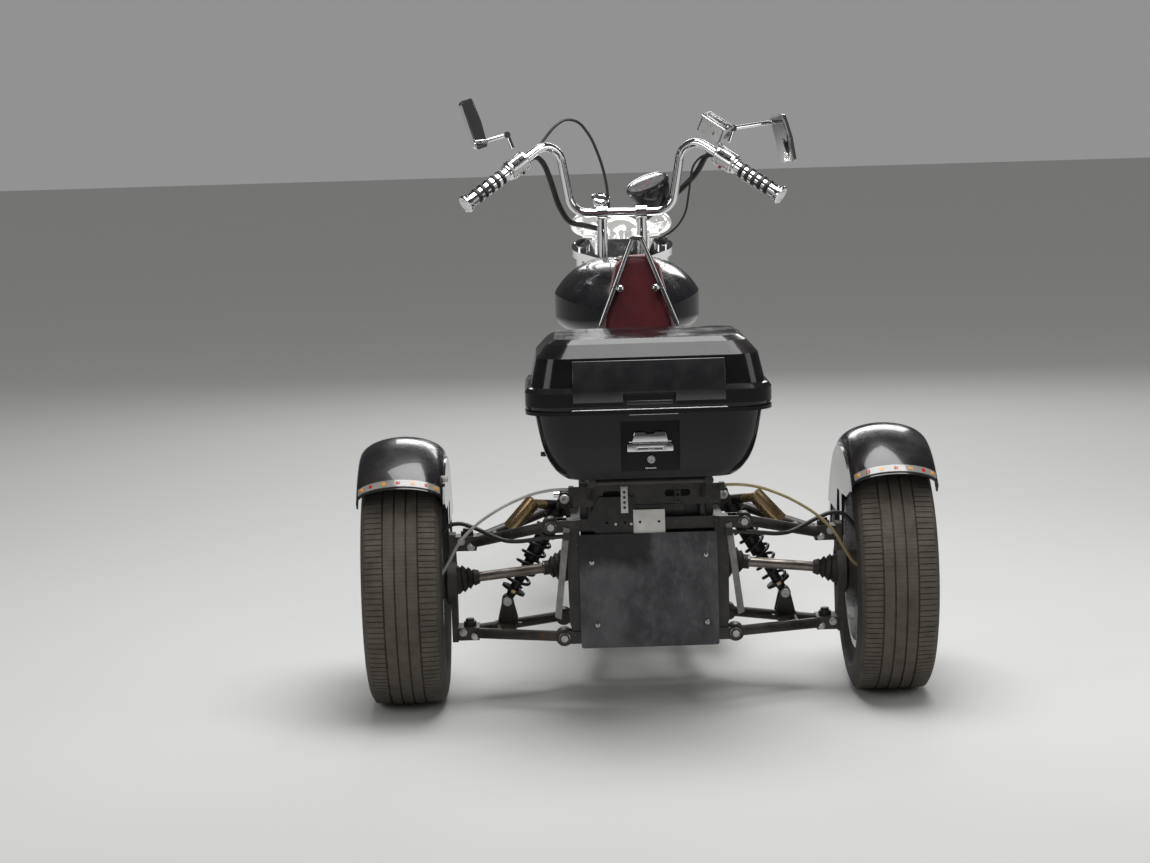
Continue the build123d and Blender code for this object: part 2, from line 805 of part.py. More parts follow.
# Main frame: head tube, backbone, twin down tubes and cradle, seat rails to the rear subframe
head_low = on_fork(upper_clamp_reach - clamp_drop + 4, fork_offset)
head_top = on_fork(upper_clamp_reach - clamp_thickness - 4, fork_offset)
stem_radius = 15
cradle_x = 120
cradle_z = 168
cradle_front_y = 385
cradle_rear_y = -300
backbone_rear = (0, -130, 760)
subframe_front_y = rear_axle_y + box_half + bush_length / 2 + lug_thickness + 2 * press_gap
with BuildPart() as frame:
    rod([(0, 478, 880), backbone_rear], backbone_radius)
    for side in (-1, 1):
        down_tube = [
            (side * 12, 497, 862),
            (side * 70, 430, 600),
            (side * cradle_x, cradle_front_y, cradle_z),
            (side * cradle_x, cradle_rear_y, cradle_z),
            (side * seat_rail_x, cradle_rear_y - 30, seat_rail_z - 8),
        ]
        rod(down_tube, rail_radius, bend=60)
        seat_rail = [
            (side * 10, backbone_rear[1] + 30, backbone_rear[2] + 4),
            (side * seat_rail_x, cradle_rear_y + 60, seat_rail_z),
            (side * seat_rail_x, subframe_front_y + 20, seat_rail_z),
            (side * (leg_top_x - 30), subframe_front_y + 20, upper_pivot_z),
        ]
        rod(seat_rail, rail_radius, bend=50)
        lower_rail = [
            (side * cradle_x, cradle_rear_y + 20, cradle_z),
            (side * (leg_foot_x - 56), subframe_front_y + rail_radius, lower_pivot_z),
        ]
        rod(lower_rail, rail_radius)
    for y, z, half in (
        (cradle_front_y - 40, cradle_z, cradle_x),
        (cradle_rear_y + 60, cradle_z, cradle_x),
        (cradle_rear_y - 26, 560, seat_rail_x + 4),
        (subframe_front_y + 40, seat_rail_z, seat_rail_x),
        (subframe_front_y + 20, upper_pivot_z, leg_top_x - 20),
        (subframe_front_y + rail_radius, lower_pivot_z, leg_foot_x - 50),
    ):
        rod([(-half, y, z), (half, y, z)], rail_radius - 3)
    rod([head_low, head_top], head_tube_radius)
    with BuildSketch(Plane(origin=head_low, z_dir=Vector(*head_top) - Vector(*head_low))):
        Circle(stem_radius + press_gap)
    extrude(amount=clamp_drop, mode=Mode.SUBTRACT)
frame.part.label = "frame"
export_step(frame.part, "parts/frame.step")

# Fork: sliders, tubes, two yokes, stem, wheel axle and bar risers, all on the steering body
fork_up = (0, -sin(radians(rake)), cos(radians(rake)))
half_spacing = fork_spacing / 2
riser_x = 55
with BuildPart() as fork:
    for side in (-1, 1):
        x = side * half_spacing
        rod([on_fork(slider_length - 10, 0, x), on_fork(upper_clamp_reach + 12, 0, x)], fork_tube_radius)
        rod([on_fork(-28, 0, x), on_fork(slider_length, 0, x)], slider_radius)
        rod([on_fork(slider_length - 8, 0, x), on_fork(slider_length + 8, 0, x)], slider_radius + 3)
        riser = on_fork(upper_clamp_reach - clamp_thickness / 2, 46, side * riser_x)
        rod([riser, (side * riser_x, bar_clamp_y, bar_clamp_z - bar_radius - 4)], 15)
    for reach in (upper_clamp_reach, upper_clamp_reach - clamp_drop):
        with BuildSketch(Plane(origin=on_fork(reach), x_dir=(1, 0, 0), z_dir=fork_up)):
            with Locations((-half_spacing, 0), (half_spacing, 0)):
                Circle(fork_tube_radius + 11)
            with Locations((0, -fork_offset)):
                Circle(head_tube_radius + 3)
            make_hull()
            with Locations((-half_spacing * 0.5, -8), (half_spacing * 0.5, -8)):
                Circle(14, mode=Mode.SUBTRACT)
        extrude(amount=-clamp_thickness)
    stem_low = on_fork(upper_clamp_reach - clamp_drop - clamp_thickness, fork_offset)
    rod([stem_low, on_fork(upper_clamp_reach + 6, fork_offset)], stem_radius)
    axle_reach = half_spacing + slider_radius + 6
    rod([(-axle_reach, *front_axle[1:]), (axle_reach, *front_axle[1:])], axle_radius)
    # caliper outboard of the disc on the left slider
    caliper_x = -front_hub_half - front_disc_thickness - running_gap
    with BuildSketch(Plane(origin=on_fork(118, 62, caliper_x), x_dir=(0, 1, 0), z_dir=(-1, 0, 0))):
        RectangleRounded(78, 52, 12)
    extrude(amount=36)
    rod([on_fork(112, 0, caliper_x - 40), on_fork(116, 50, caliper_x - 32)], 10)
fork.part.label = "fork"
export_step(fork.part, "parts/fork.step")

# Front mudguard on brackets to the sliders
front_guard_half = 79
with BuildPart() as front_mudguard:
    with BuildSketch(spoke_plane(front_axle, 42)):
        guard_section(
            front_tyre_radius + 28, front_tyre_radius + 2, front_tyre_radius - 44, front_guard_half, 3
        )
    revolve(axis=Axis(front_axle, (1, 0, 0)), revolution_arc=150)
    for side in (-1, 1):
        bracket_x = side * (front_guard_half - 1)
        reach_x = side * (half_spacing - slider_radius + 1)
        with BuildSketch(Plane(origin=on_fork(300, 0, bracket_x), x_dir=(0, 1, 0), z_dir=(side, 0, 0))):
            RectangleRounded(34, 48, 8)
        extrude(amount=abs(reach_x - bracket_x) - 1.5)
front_mudguard.part.label = "front_mudguard"
export_step(front_mudguard.part, "parts/front_mudguard.step")

# Headlamp bucket ahead of the upper yoke, carried on a block from it
lamp_y = 600
lamp_z = 1006
lamp_radius = 82
with BuildPart() as headlamp:
    lamp_plane = Plane(origin=(0, lamp_y, lamp_z), x_dir=(0, 1, 0), z_dir=(1, 0, 0))
    with BuildSketch(lamp_plane):
        with BuildLine():
            EllipticalCenterArc((34, 0), 100, lamp_radius - 4, start_angle=90, arc_size=90)
            Polyline((34, lamp_radius - 4), (36, lamp_radius), (58, lamp_radius), (62, lamp_radius - 8))
            EllipticalCenterArc((62, 0), 18, lamp_radius - 8, start_angle=0, arc_size=90)
            Line((80, 0), (-66, 0))
        make_face()
    revolve(axis=Axis((0, lamp_y, lamp_z), (0, 1, 0)))
    yoke_face = fork_tube_radius + 11
    neck_reach = upper_clamp_reach - clamp_thickness / 2
    rod([on_fork(neck_reach, -yoke_face), on_fork(neck_reach, -yoke_face - 50)], 10)
headlamp.part.label = "headlamp"
export_step(headlamp.part, "parts/headlamp.step")

# Spot lamps: bullet shells with tails splayed outwards, on stalks from the yoke
spot_x = 106
spot_z = 1069
spot_y = 560
spot_radius = 38
with BuildPart() as spot_lamps:
    for side in (-1, 1):
        aim = Vector(-side * sin(radians(30)), cos(radians(30)), 0)
        centre = Vector(side * spot_x, spot_y, spot_z)
        with BuildSketch(Plane(origin=centre, x_dir=aim, z_dir=(0, 0, 1))):
            with BuildLine():
                EllipticalCenterArc((24, 0), 80, spot_radius - 3, start_angle=90, arc_size=90)
                Polyline((24, spot_radius - 3), (26, spot_radius), (36, spot_radius), (38, spot_radius - 4))
                EllipticalCenterArc((38, 0), 9, spot_radius - 4, start_angle=0, arc_size=90)
                Line((47, 0), (-56, 0))
            make_face()
        revolve(axis=Axis(centre, aim))
        post_x = side * half_spacing * 0.62
        rod([on_fork(upper_clamp_reach, -14, post_x), on_fork(upper_clamp_reach + 34, -14, post_x)], 9)
        stalk_top = centre - Vector(0, 0, spot_radius - 8)
        rod([on_fork(upper_clamp_reach + 27, -14, post_x), tuple(stalk_top)], 8)
spot_lamps.part.label = "spot_lamps"
export_step(spot_lamps.part, "parts/spot_lamps.step")

# Handlebar: one bent tube clamped on the risers, with pull-back grips
bar_route = [
    # x, y, z of the right half, from the clamp out
    (140, bar_clamp_y, bar_clamp_z),
    (178, bar_clamp_y - 30, bar_clamp_z + 218),
    (426, bar_clamp_y - 166, bar_clamp_z + 44),
]
bar_bend = 52
left_half = [(-x, y, z) for x, y, z in reversed(bar_route)]
with BuildPart() as handlebar:
    rod(left_half + bar_route, bar_radius, bend=bar_bend)
    for side in (-1, 1):
        # clamp caps over the risers
        with BuildSketch(Plane(origin=(side * riser_x, bar_clamp_y, bar_clamp_z), z_dir=(1, 0, 0))):
            Circle(bar_radius + 8)
        extrude(amount=15, both=True)
    with Locations((0, bar_clamp_y, bar_clamp_z - bar_radius - 9)):
        Box(200, 60, 18, mode=Mode.SUBTRACT)
    rod([(-riser_x - 20, bar_clamp_y, bar_clamp_z), (riser_x + 20, bar_clamp_y, bar_clamp_z)], bar_radius)
handlebar.part.label = "handlebar"
export_step(handlebar.part, "parts/handlebar.step")

# Grips over the bar ends
bar_top = Vector(*bar_route[1])
bar_end = Vector(*bar_route[2])
grip_run = (bar_end - bar_top).normalized()
grip_length = 150
with BuildPart() as grips:
    for side in (-1, 1):
        end = Vector(side * bar_end.X, bar_end.Y, bar_end.Z)
        run = Vector(side * grip_run.X, grip_run.Y, grip_run.Z)
        start = end - run * grip_length
        with BuildSketch(Plane(origin=start, x_dir=run, z_dir=run.cross(Vector(0, 0, 1)))):
            with BuildLine():
                Polyline(
                    (0, bar_radius + press_gap),
                    (0, grip_radius + 5),
                    (4, grip_radius + 5),
                    (7, grip_radius - 1),
                    (grip_length / 2, grip_radius + 1),
                    (grip_length - 8, grip_radius - 1),
                    (grip_length - 4, grip_radius + 3),
                    (grip_length + 8, grip_radius + 2),
                    (grip_length + 12, grip_radius - 6),
                    (grip_length + 12, 0),
                    (grip_length + press_gap, 0),
                    (grip_length + press_gap, bar_radius + press_gap),
                    close=True,
                )
            make_face()
        revolve(axis=Axis(start, run))
grips.part.label = "grips"
export_step(grips.part, "parts/grips.step")

# Hand controls inboard of the grips: switch barrels, lever perches, levers and the fluid reservoir
switch_radius = 28
switch_length = 62
reservoir_length = 82
reservoir_width = 44
reservoir_height = 42
with BuildPart() as hand_controls:
    for side in (-1, 1):
        end = Vector(side * bar_end.X, bar_end.Y, bar_end.Z)
        run = Vector(side * grip_run.X, grip_run.Y, grip_run.Z)
        ahead = Vector(0, cos(radians(18)), -sin(radians(18)))
        inner = end - run * (grip_length + switch_length + 2)
        with BuildSketch(Plane(origin=inner, x_dir=run, z_dir=run.cross(Vector(0, 0, 1)))):
            with BuildLine():
                Polyline(
                    (0, bar_radius + press_gap),
                    (0, switch_radius - 4),
                    (4, switch_radius),
                    (switch_length - 4, switch_radius),
                    (switch_length, switch_radius - 4),
                    (switch_length, bar_radius + press_gap),
                    close=True,
                )
            make_face()
        revolve(axis=Axis(inner, run))
        perch = inner + run * 12
        pivot = perch + ahead * 44 + run * 6
        rod([tuple(perch + ahead * 18), tuple(pivot)], 9)
        lever_mid = pivot + run * 70 + ahead * 22
        lever_tip = end + ahead * 58 + run * 6
        rod([tuple(pivot - run * 6), tuple(lever_mid), tuple(lever_tip)], 6, bend=60)
        if side == 1:
            lean = Vector(0, -0.25, 0.97)
            up = (lean - run * run.dot(lean)).normalized()
            tank_at = perch + ahead * 30 + up * 50 - run * 50
            with BuildSketch(Plane(origin=tank_at, x_dir=run, z_dir=up)):
                RectangleRounded(reservoir_length, reservoir_width, 8)
            extrude(amount=reservoir_height)
            rod([tuple(perch + ahead * 37), tuple(tank_at + ahead * 8 + run * 24 + up * 4)], 9)
hand_controls.part.label = "hand_controls"
export_step(hand_controls.part, "parts/hand_controls.step")

# Mirrors: flat shells carried at one end by arms from the perches, each at its own set angle
mirror_table = (
    # side, centre, long axis, share of the width seen from behind, turn sign, arm end along and across
    (-1, (-405, bar_clamp_y - 40, 1365), (0.29, 0, -0.96), 0.47, 1, 0.78, 0.8),
    (1, (450, bar_clamp_y - 40, 1296), (0.22, 0, -0.975), 0.5, -1, -0.74, -0.8),
)
mirror_length = 142
mirror_width = 84
mirror_depth = 12
knuckle_x = 314
knuckle_y = 361
knuckle_z = 1332
stem_z = 1294
with BuildPart() as mirrors:
    for side, centre, long_axis, seen, sign, arm_along, arm_across in mirror_table:
        long_dir = Vector(*long_axis).normalized()
        side_dir = Vector(-long_dir.Z, 0, long_dir.X) * seen + Vector(0, sign, 0) * sqrt(1 - seen**2)
        face_dir = long_dir.cross(side_dir)
        half_l = mirror_length / 2
        half_w = mirror_width / 2
        with BuildSketch(Plane(origin=centre, x_dir=long_dir, z_dir=face_dir)):
            with BuildLine():
                FilletPolyline(
                    (-half_l, -half_w * 0.8),
                    (half_l, -half_w * 0.8),
                    (half_l, half_w * 0.8),
                    (0, half_w),
                    (-half_l, half_w * 0.8),
                    (-half_l * 0.98, 0),
                    radius=12,
                    close=True,
                )
            make_face()
        extrude(amount=-mirror_depth, taper=18)
        knuckle = Vector(side * knuckle_x, knuckle_y, knuckle_z)
        arm_end = Vector(*centre) + long_dir * (half_l * arm_along) + side_dir * (half_w * arm_across)
        rod([tuple(knuckle), tuple(arm_end - face_dir * (mirror_depth / 2))], 6)
        rod([(side * (knuckle_x - 14), knuckle_y - 8, stem_z), tuple(knuckle)], 6)
        rod([tuple(knuckle - Vector(0, 12, 0)), tuple(knuckle + Vector(0, 12, 0))], 9)
mirrors.part.label = "mirrors"
export_step(mirrors.part, "parts/mirrors.step")

# Gauges: bowl-shaped speedometer on a stem and a small dome beside it
gauge_table = (
    # x, y, z, tilt axis x, y, z, radius, depth
    (76, bar_clamp_y + 56, 1180, -0.34, -0.30, 0.89, 62, 80),
    (-58, bar_clamp_y + 40, 1146, 0.10, -0.42, 0.90, 26, 30),
)
gauge_bar_y = bar_clamp_y + 34
gauge_bar_z = bar_clamp_z - 6
with BuildPart() as gauges:
    for x, y, z, ax, ay, az, radius, depth in gauge_table:
        face_at = Vector(x, y, z)
        facing = Vector(ax, ay, az).normalized()
        cross = facing.cross(Vector(0, 1, 0)).normalized()
        with BuildSketch(Plane(origin=face_at, x_dir=facing, z_dir=cross)):
            with BuildLine():
                EllipticalCenterArc((-6, 0), depth - 6, radius - 3, start_angle=90, arc_size=90)
                Polyline((-6, radius - 3), (-5, radius), (3, radius), (6, radius - 5))
                Polyline((6, radius - 5), (2, radius - 7), (2, 0), (-depth, 0))
            make_face()
        revolve(axis=Axis(face_at, facing))
        base = Vector(x * 0.55, gauge_bar_y, gauge_bar_z)
        rod([tuple(base), tuple(face_at - facing * (depth - 4))], 6)
    rod([(-42, gauge_bar_y, gauge_bar_z), (52, gauge_bar_y, gauge_bar_z)], 7)
    for side in (-1, 1):
        strut = (side * 20, gauge_bar_y, gauge_bar_z)
        rod([strut, (side * 20, bar_clamp_y + bar_radius + 2, bar_clamp_z - 3)], 5)
gauges.part.label = "gauges"
export_step(gauges.part, "parts/gauges.step")


def tank_section(y, half_width, low, waist, top):
    # One slice of the tank: flat belly, upright flanks and a domed top.
    belly = half_width * 0.8
    turn_z = low + (half_width - belly)
    shoulder = half_width * 0.68
    shoulder_z = waist + (top - waist) * 0.78
    with BuildSketch(Plane(origin=(0, y, 0), x_dir=(1, 0, 0), z_dir=(0, -1, 0))) as slice_face:
        with BuildLine() as outline:
            Line((-belly, low), (belly, low))
            RadiusArc((belly, low), (half_width, turn_z), -(half_width - belly))
            Line((half_width, turn_z), (half_width, waist))
            ThreePointArc((half_width, waist), (shoulder, shoulder_z), (0, top))
            ThreePointArc((0, top), (-shoulder, shoulder_z), (-half_width, waist))
            Line((-half_width, waist), (-half_width, turn_z))
            RadiusArc((-half_width, turn_z), (-belly, low), -(half_width - belly))
        make_face(outline.edges())
    return slice_face.sketch


# Fuel tank: teardrop lofted from slices, saddled over the backbone
tank_slices = (
    # y, half width, belly z, waist z, top z
    (-110, 62, 835, 866, 888),
    (-20, 140, 812, 884, 950),
    (150, tank_half_width, tank_belly, tank_waist, tank_top),
    (310, 164, 815, 902, 976),
    (398, 82, 850, 890, 925),
)
with BuildPart() as fuel_tank:
    slices = [tank_section(*row) for row in tank_slices]
    loft(sections=slices)
    with BuildSketch(Plane(origin=(0, 0, 0), x_dir=(0, 1, 0), z_dir=(1, 0, 0))):
        with BuildLine():
            Polyline(
                (backbone_rear[1] - 60, 700),
                (500, 700),
                (500, 886 + backbone_radius + 6),
                (backbone_rear[1] - 60, backbone_rear[2] + backbone_radius + 8),
                close=True,
            )
        make_face()
    extrude(amount=backbone_radius + 10, both=True, mode=Mode.SUBTRACT)
    with BuildSketch(Plane.XY.offset(tank_top - 8)):
        with Locations((0, 150)):
            Circle(32)
    extrude(amount=14)
fuel_tank.part.label = "fuel_tank"
export_step(fuel_tank.part, "parts/fuel_tank.step")

# Saddle: stepped two-up seat, side profile trimmed to the plan shape
saddle_base_z = seat_rail_z + rail_radius + 2
saddle_rear_y = -636
saddle_plan = [
    # half width x, y
    (122, saddle_rear_y),
    (135, -430),
    (165, -300),
    (118, -205),
    (58, -136),
]
with BuildPart() as saddle:
    with BuildSketch(Plane(origin=(0, 0, 0), x_dir=(0, 1, 0), z_dir=(1, 0, 0))):
        with BuildLine():
            FilletPolyline(
                (saddle_rear_y, saddle_base_z),
                (-290, saddle_base_z),
                (-138, saddle_base_z + 69),
                (-136, saddle_base_z + 91),
                (-200, saddle_base_z + 62),
                (-375, saddle_base_z + 52),
                (-425, saddle_base_z + 120),
                (saddle_rear_y, saddle_base_z + 128),
                radius=9,
                close=True,
            )
        make_face()
    extrude(amount=170, both=True)
    with BuildSketch(Plane.XY.offset(saddle_base_z - 5)):
        with BuildLine():
            left_plan = [(-x, y) for x, y in reversed(saddle_plan)]
            FilletPolyline(*saddle_plan, *left_plan, radius=22, close=True)
        make_face()
    extrude(amount=200, mode=Mode.INTERSECT)
saddle.part.label = "saddle"
export_step(saddle.part, "parts/saddle.step")

# Backrest pad and the sissy bar behind it
sissy_y = rear_axle_y + 80
sissy_radius = 6.5
sissy_apex_z = 1104
pad_back_y = sissy_y + sissy_radius + press_gap
pad_depth = 44
pad_outline = [
    # half width, z
    (90, saddle_base_z + 134),
    (86, 900),
    (79, 945),
    (67, 992),
    (57, 1026),
    (30, 1050),
]
with BuildPart() as backrest:
    with BuildSketch(Plane(origin=(0, pad_back_y, 0), x_dir=(1, 0, 0), z_dir=(0, -1, 0))):
        with BuildLine():
            left_outline = [(-x, z) for x, z in reversed(pad_outline)]
            FilletPolyline(*pad_outline, *left_outline, radius=10, close=True)
        make_face()
    extrude(amount=-pad_depth)
    fillet(faces().sort_by(Axis.Y)[-1].edges(), 12)
backrest.part.label = "backrest"
export_step(backrest.part, "parts/backrest.step")

subframe_top_z = upper_pivot_z + box_tube / 2
with BuildPart() as sissy_bar:
    half_route = [
        (105, rear_axle_y + box_half, subframe_top_z),
        (105, rear_axle_y + box_half, 560),
        (103, sissy_y, 680),
        (92, sissy_y, 880),
    ]
    left_route = [(-x, y, z) for x, y, z in reversed(half_route)]
    rod(half_route + [(0, sissy_y, sissy_apex_z + 8)] + left_route, sissy_radius, bend=14)
    rod([(-98, sissy_y, 760), (98, sissy_y, 760)], sissy_radius - 1.5)
sissy_bar.part.label = "sissy_bar"
export_step(sissy_bar.part, "parts/sissy_bar.step")

# Engine: crankcase with side covers and a gearbox behind; V of two finned cylinders above
crank_y = 110
crank_z = 330
crank_half = 95
deck = 105
vee = 27
fin_half = 58
crankcase_rear_y = crank_y - 170
crankcase_front_y = crank_y + 160
sump_z = 176
gearbox_low_z = 200
gearbox_high_z = 400
gearbox_half = 80
primary_y = crank_y + 30
primary_z = 300
primary_radius = 88
clutch_y = crank_y - 110
clutch_z = 285
clutch_radius = 62
cover_depth = 26
boss_radius = 58
boss_depth = 9
cover_rounds = (
    # y, z, radius
    (primary_y, primary_z, primary_radius),
    (clutch_y, clutch_z, clutch_radius),
)
with BuildPart() as engine_block:
    deck_rise = deck * cos(radians(vee))
    deck_run = deck * sin(radians(vee))
    edge_run = fin_half * cos(radians(vee))
    edge_rise = fin_half * sin(radians(vee))
    with BuildSketch(Plane(origin=(0, 0, 0), x_dir=(0, 1, 0), z_dir=(1, 0, 0))):
        with BuildLine():
            Polyline(
                (crankcase_rear_y, crank_z - 140),
                (crankcase_rear_y, crank_z + 20),
                (crank_y - deck_run - edge_run, crank_z + deck_rise - edge_rise),
                (crank_y, crank_z + deck_rise + deck_run * edge_rise / edge_run),
                (crank_y + deck_run + edge_run, crank_z + deck_rise - edge_rise),
                (crankcase_front_y, crank_z),
                (crankcase_front_y, crank_z - 100),
                (crankcase_front_y - 60, sump_z),
                (crankcase_rear_y + 20, sump_z),
                close=True,
            )
        make_face()
    extrude(amount=crank_half, both=True)
    with BuildSketch(Plane(origin=(0, 0, 0), x_dir=(0, 1, 0), z_dir=(1, 0, 0))):
        with BuildLine():
            FilletPolyline(
                (gearbox_rear_y, gearbox_low_z + 15),
                (gearbox_rear_y, gearbox_high_z - 10),
                (crankcase_rear_y + 10, gearbox_high_z),
                (crankcase_rear_y + 10, gearbox_low_z),
                radius=18,
                close=True,
            )
        make_face()
    extrude(amount=gearbox_half, both=True)
    for side in (-1, 1):
        cover = Plane(origin=(side * crank_half, 0, 0), x_dir=(0, side, 0), z_dir=(side, 0, 0))
        with BuildSketch(cover):
            with BuildLine():
                Polyline(
                    (side * primary_y, primary_z + primary_radius - 2),
                    (side * clutch_y, clutch_z + clutch_radius - 2),
                    (side * clutch_y, clutch_z - clutch_radius + 2),
                    (side * primary_y, primary_z - primary_radius + 2),
                    close=True,
                )
            make_face()
        extrude(amount=cover_depth - 2)
        for round_y, round_z, round_radius in cover_rounds:
            with BuildSketch(cover):
                with Locations((side * round_y, round_z)):
                    Circle(round_radius)
            extrude(amount=cover_depth, taper=12)
        with BuildSketch(cover.offset(cover_depth)):
            with Locations((side * primary_y, primary_z)):
                Circle(boss_radius)
        extrude(amount=boss_depth, taper=20)
engine_block.part.label = "engine_block"
export_step(engine_block.part, "parts/engine_block.step")

fin_count = 9
fin_pitch = 12
fin_thickness = 4
fin_start = 8
barrel_radius = 46
head_height = 34
rocker_height = 30
with BuildPart() as cylinders:
    for lean in (-1, 1):
        up = Vector(0, lean * sin(radians(vee)), cos(radians(vee)))
        base = Plane(origin=(0, crank_y, crank_z), x_dir=(1, 0, 0), z_dir=up)
        with BuildSketch(base.offset(deck + press_gap)):
            Circle(barrel_radius)
        extrude(amount=fin_count * fin_pitch + fin_start)
        for fin in range(fin_count):
            with BuildSketch(base.offset(deck + fin_start + fin * fin_pitch)):
                RectangleRounded(2 * fin_half, 2 * fin_half - 14, 22)
            extrude(amount=fin_thickness)
        head = deck + fin_count * fin_pitch + fin_start
        with BuildSketch(base.offset(head)):
            RectangleRounded(2 * fin_half - 4, 2 * fin_half - 16, 26)
        extrude(amount=head_height)
        with BuildSketch(base.offset(head + head_height)):
            RectangleRounded(2 * fin_half - 16, 2 * fin_half - 30, 24)
        extrude(amount=rocker_height, taper=10)
cylinders.part.label = "cylinders"
export_step(cylinders.part, "parts/cylinders.step")

# Air cleaner: round can on the right, fed through a short throat between the cylinders
cleaner_z = 548
cleaner_x = fin_half + 8
cleaner_radius = 78
cleaner_depth = 44
cleaner_badge_radius = 48
throat_radius = 20
with BuildPart() as air_cleaner:
    with BuildSketch(Plane(origin=(cleaner_x, crank_y, cleaner_z), z_dir=(1, 0, 0))):
        Circle(cleaner_radius)
    extrude(amount=cleaner_depth)
    fillet(edges().filter_by(GeomType.CIRCLE).sort_by(Axis.X)[-1], 12)
    with BuildSketch(Plane(origin=(cleaner_x + cleaner_depth, crank_y, cleaner_z), z_dir=(1, 0, 0))):
        Circle(cleaner_badge_radius)
    extrude(amount=5, taper=30)
    rod([(-30, crank_y, cleaner_z), (cleaner_x + 2, crank_y, cleaner_z)], throat_radius)
air_cleaner.part.label = "air_cleaner"
export_step(air_cleaner.part, "parts/air_cleaner.step")

# Exhaust: two header pipes down the right side into stacked silencers
pipe_radius = 20
silencer_radius = 33
silencer_x = 204
silencer_end_y = -400
exhaust_routes = (
    # points from the port to the silencer's mouth
    [(fin_half + 2, 245, 505), (132, 290, 480), (176, 300, 380), (196, 240, 232), (silencer_x, 60, 222)],
    [(fin_half + 2, -18, 505), (130, -34, 490), (178, -50, 420), (196, -90, 330), (silencer_x, -160, 300)],
)
with BuildPart() as exhaust:
    for route in exhaust_routes:
        rod(route, pipe_radius, bend=34)
        mouth = Vector(*route[-1])
        tail = Vector(silencer_x, silencer_end_y, mouth.Z + 4)
        run = (tail - mouth).normalized()
        length = (tail - mouth).length
        with BuildSketch(Plane(origin=mouth, x_dir=run, z_dir=run.cross(Vector(0, 0, 1)))):
            with BuildLine():
                Polyline(
                    (-18, 0),
                    (-18, pipe_radius + 4),
                    (40, silencer_radius),
                    (length - 20, silencer_radius),
                    (length, silencer_radius - 6),
                    (length, silencer_radius - 12),
                    (length - 40, silencer_radius - 14),
                    (length - 40, 0),
                    close=True,
                )
            make_face()
        revolve(axis=Axis(mouth, run))
exhaust.part.label = "exhaust"
export_step(exhaust.part, "parts/exhaust.step")

# Foot controls: clamped to the down tubes, pegs outboard and pedals ahead
peg_z = 262
peg_y = 398
peg_clamp_x = 114
peg_root_x = 190
peg_tip_x = 296
pedal_x = 158
pedal_y = 520
pedal_tip_x = 216
with BuildPart() as foot_controls:
    for side in (-1, 1):
        clamp_at = (side * peg_clamp_x, peg_y, peg_z)
        peg_root = (side * peg_root_x, peg_y, peg_z)
        with Locations(clamp_at):
            Box(44, 48, 46)
        rod([clamp_at, peg_root], 9)
        rod([peg_root, (side * peg_tip_x, peg_y - 6, peg_z + 6)], 15)
        pedal_foot = (side * pedal_x, peg_y, peg_z)
        pedal_knee = (side * pedal_x, 452, peg_z + 26)
        pedal_end = (side * pedal_x, pedal_y, peg_z + 34)
        rod([pedal_foot, pedal_knee, pedal_end], 7, bend=20)
        rod([(side * (pedal_x - 8), pedal_y, peg_z + 34), (side * pedal_tip_x, pedal_y, peg_z + 34)], 10)
        bored_from = (side * 70, 430, 600)
        bored_to = (side * cradle_x, cradle_front_y, cradle_z)
        rod([bored_from, bored_to], rail_radius + press_gap, mode=Mode.SUBTRACT)
foot_controls.part.label = "foot_controls"
export_step(foot_controls.part, "parts/foot_controls.step")

# Side covers below the saddle
cover_x = seat_rail_x + rail_radius + 9
with BuildPart() as side_covers:
    for side in (-1, 1):
        with BuildSketch(
            Plane(origin=(side * cover_x, 0, 0), x_dir=(0, side, 0), z_dir=(side, 0, 0))
        ):
            with BuildLine():
                FilletPolyline(
                    (side * -150, 640),
                    (side * -450, 662),
                    (side * -520, 560),
                    (side * -430, 430),
                    (side * -230, 430),
                    radius=26,
                    close=True,
                )
            make_face()
        extrude(amount=22, taper=25)
side_covers.part.label = "side_covers"
export_step(side_covers.part, "parts/side_covers.step")

# Luggage rack on the rear subframe, with the cross plate for the number plate bracket
rack_half = 130
rack_tube = 10
rack_z = case_floor_z - rack_tube
rack_front_y = rear_axle_y + box_half
rack_rear_y = -1180
cross_plate_half = 172
cross_plate_low = 477
cross_plate_high = 525
cross_plate_y = rear_axle_y - box_half - 12
with BuildPart() as luggage_rack:
    for side in (-1, 1):
        x = side * rack_half
        rod([(x, rack_front_y, rack_z), (x, rack_rear_y, rack_z)], rack_tube)
        for leg_y in (rack_front_y - 6, rear_axle_y - box_half + 6):
            rod([(x, leg_y, subframe_top_z), (x, leg_y, rack_z)], rack_tube - 1)
        brace_foot = (x, rear_axle_y - box_half, cross_plate_low + 16)
        rod([brace_foot, (x, rack_rear_y + 60, rack_z)], rack_tube - 3)
        # glands for the handbrake cables
        with Locations((side * (cross_plate_half + 3), cross_plate_y - 4, cross_plate_high - 8)):
            Box(12, 20, 20)
    for y in (rack_front_y - 36, rear_axle_y - box_half + 28, -1040, rack_rear_y + 14):
        rod([(-rack_half, y, rack_z), (rack_half, y, rack_z)], rack_tube - 2)
    with BuildSketch(Plane(origin=(0, cross_plate_y, 0), x_dir=(1, 0, 0), z_dir=(0, -1, 0))):
        with Locations((0, (cross_plate_low + cross_plate_high) / 2)):
            Rectangle(2 * cross_plate_half, cross_plate_high - cross_plate_low)
            with Locations((-72, 4), (72, 4)):
                SlotOverall(60, 16, mode=Mode.SUBTRACT)
    extrude(amount=4)
luggage_rack.part.label = "luggage_rack"
export_step(luggage_rack.part, "parts/luggage_rack.step")

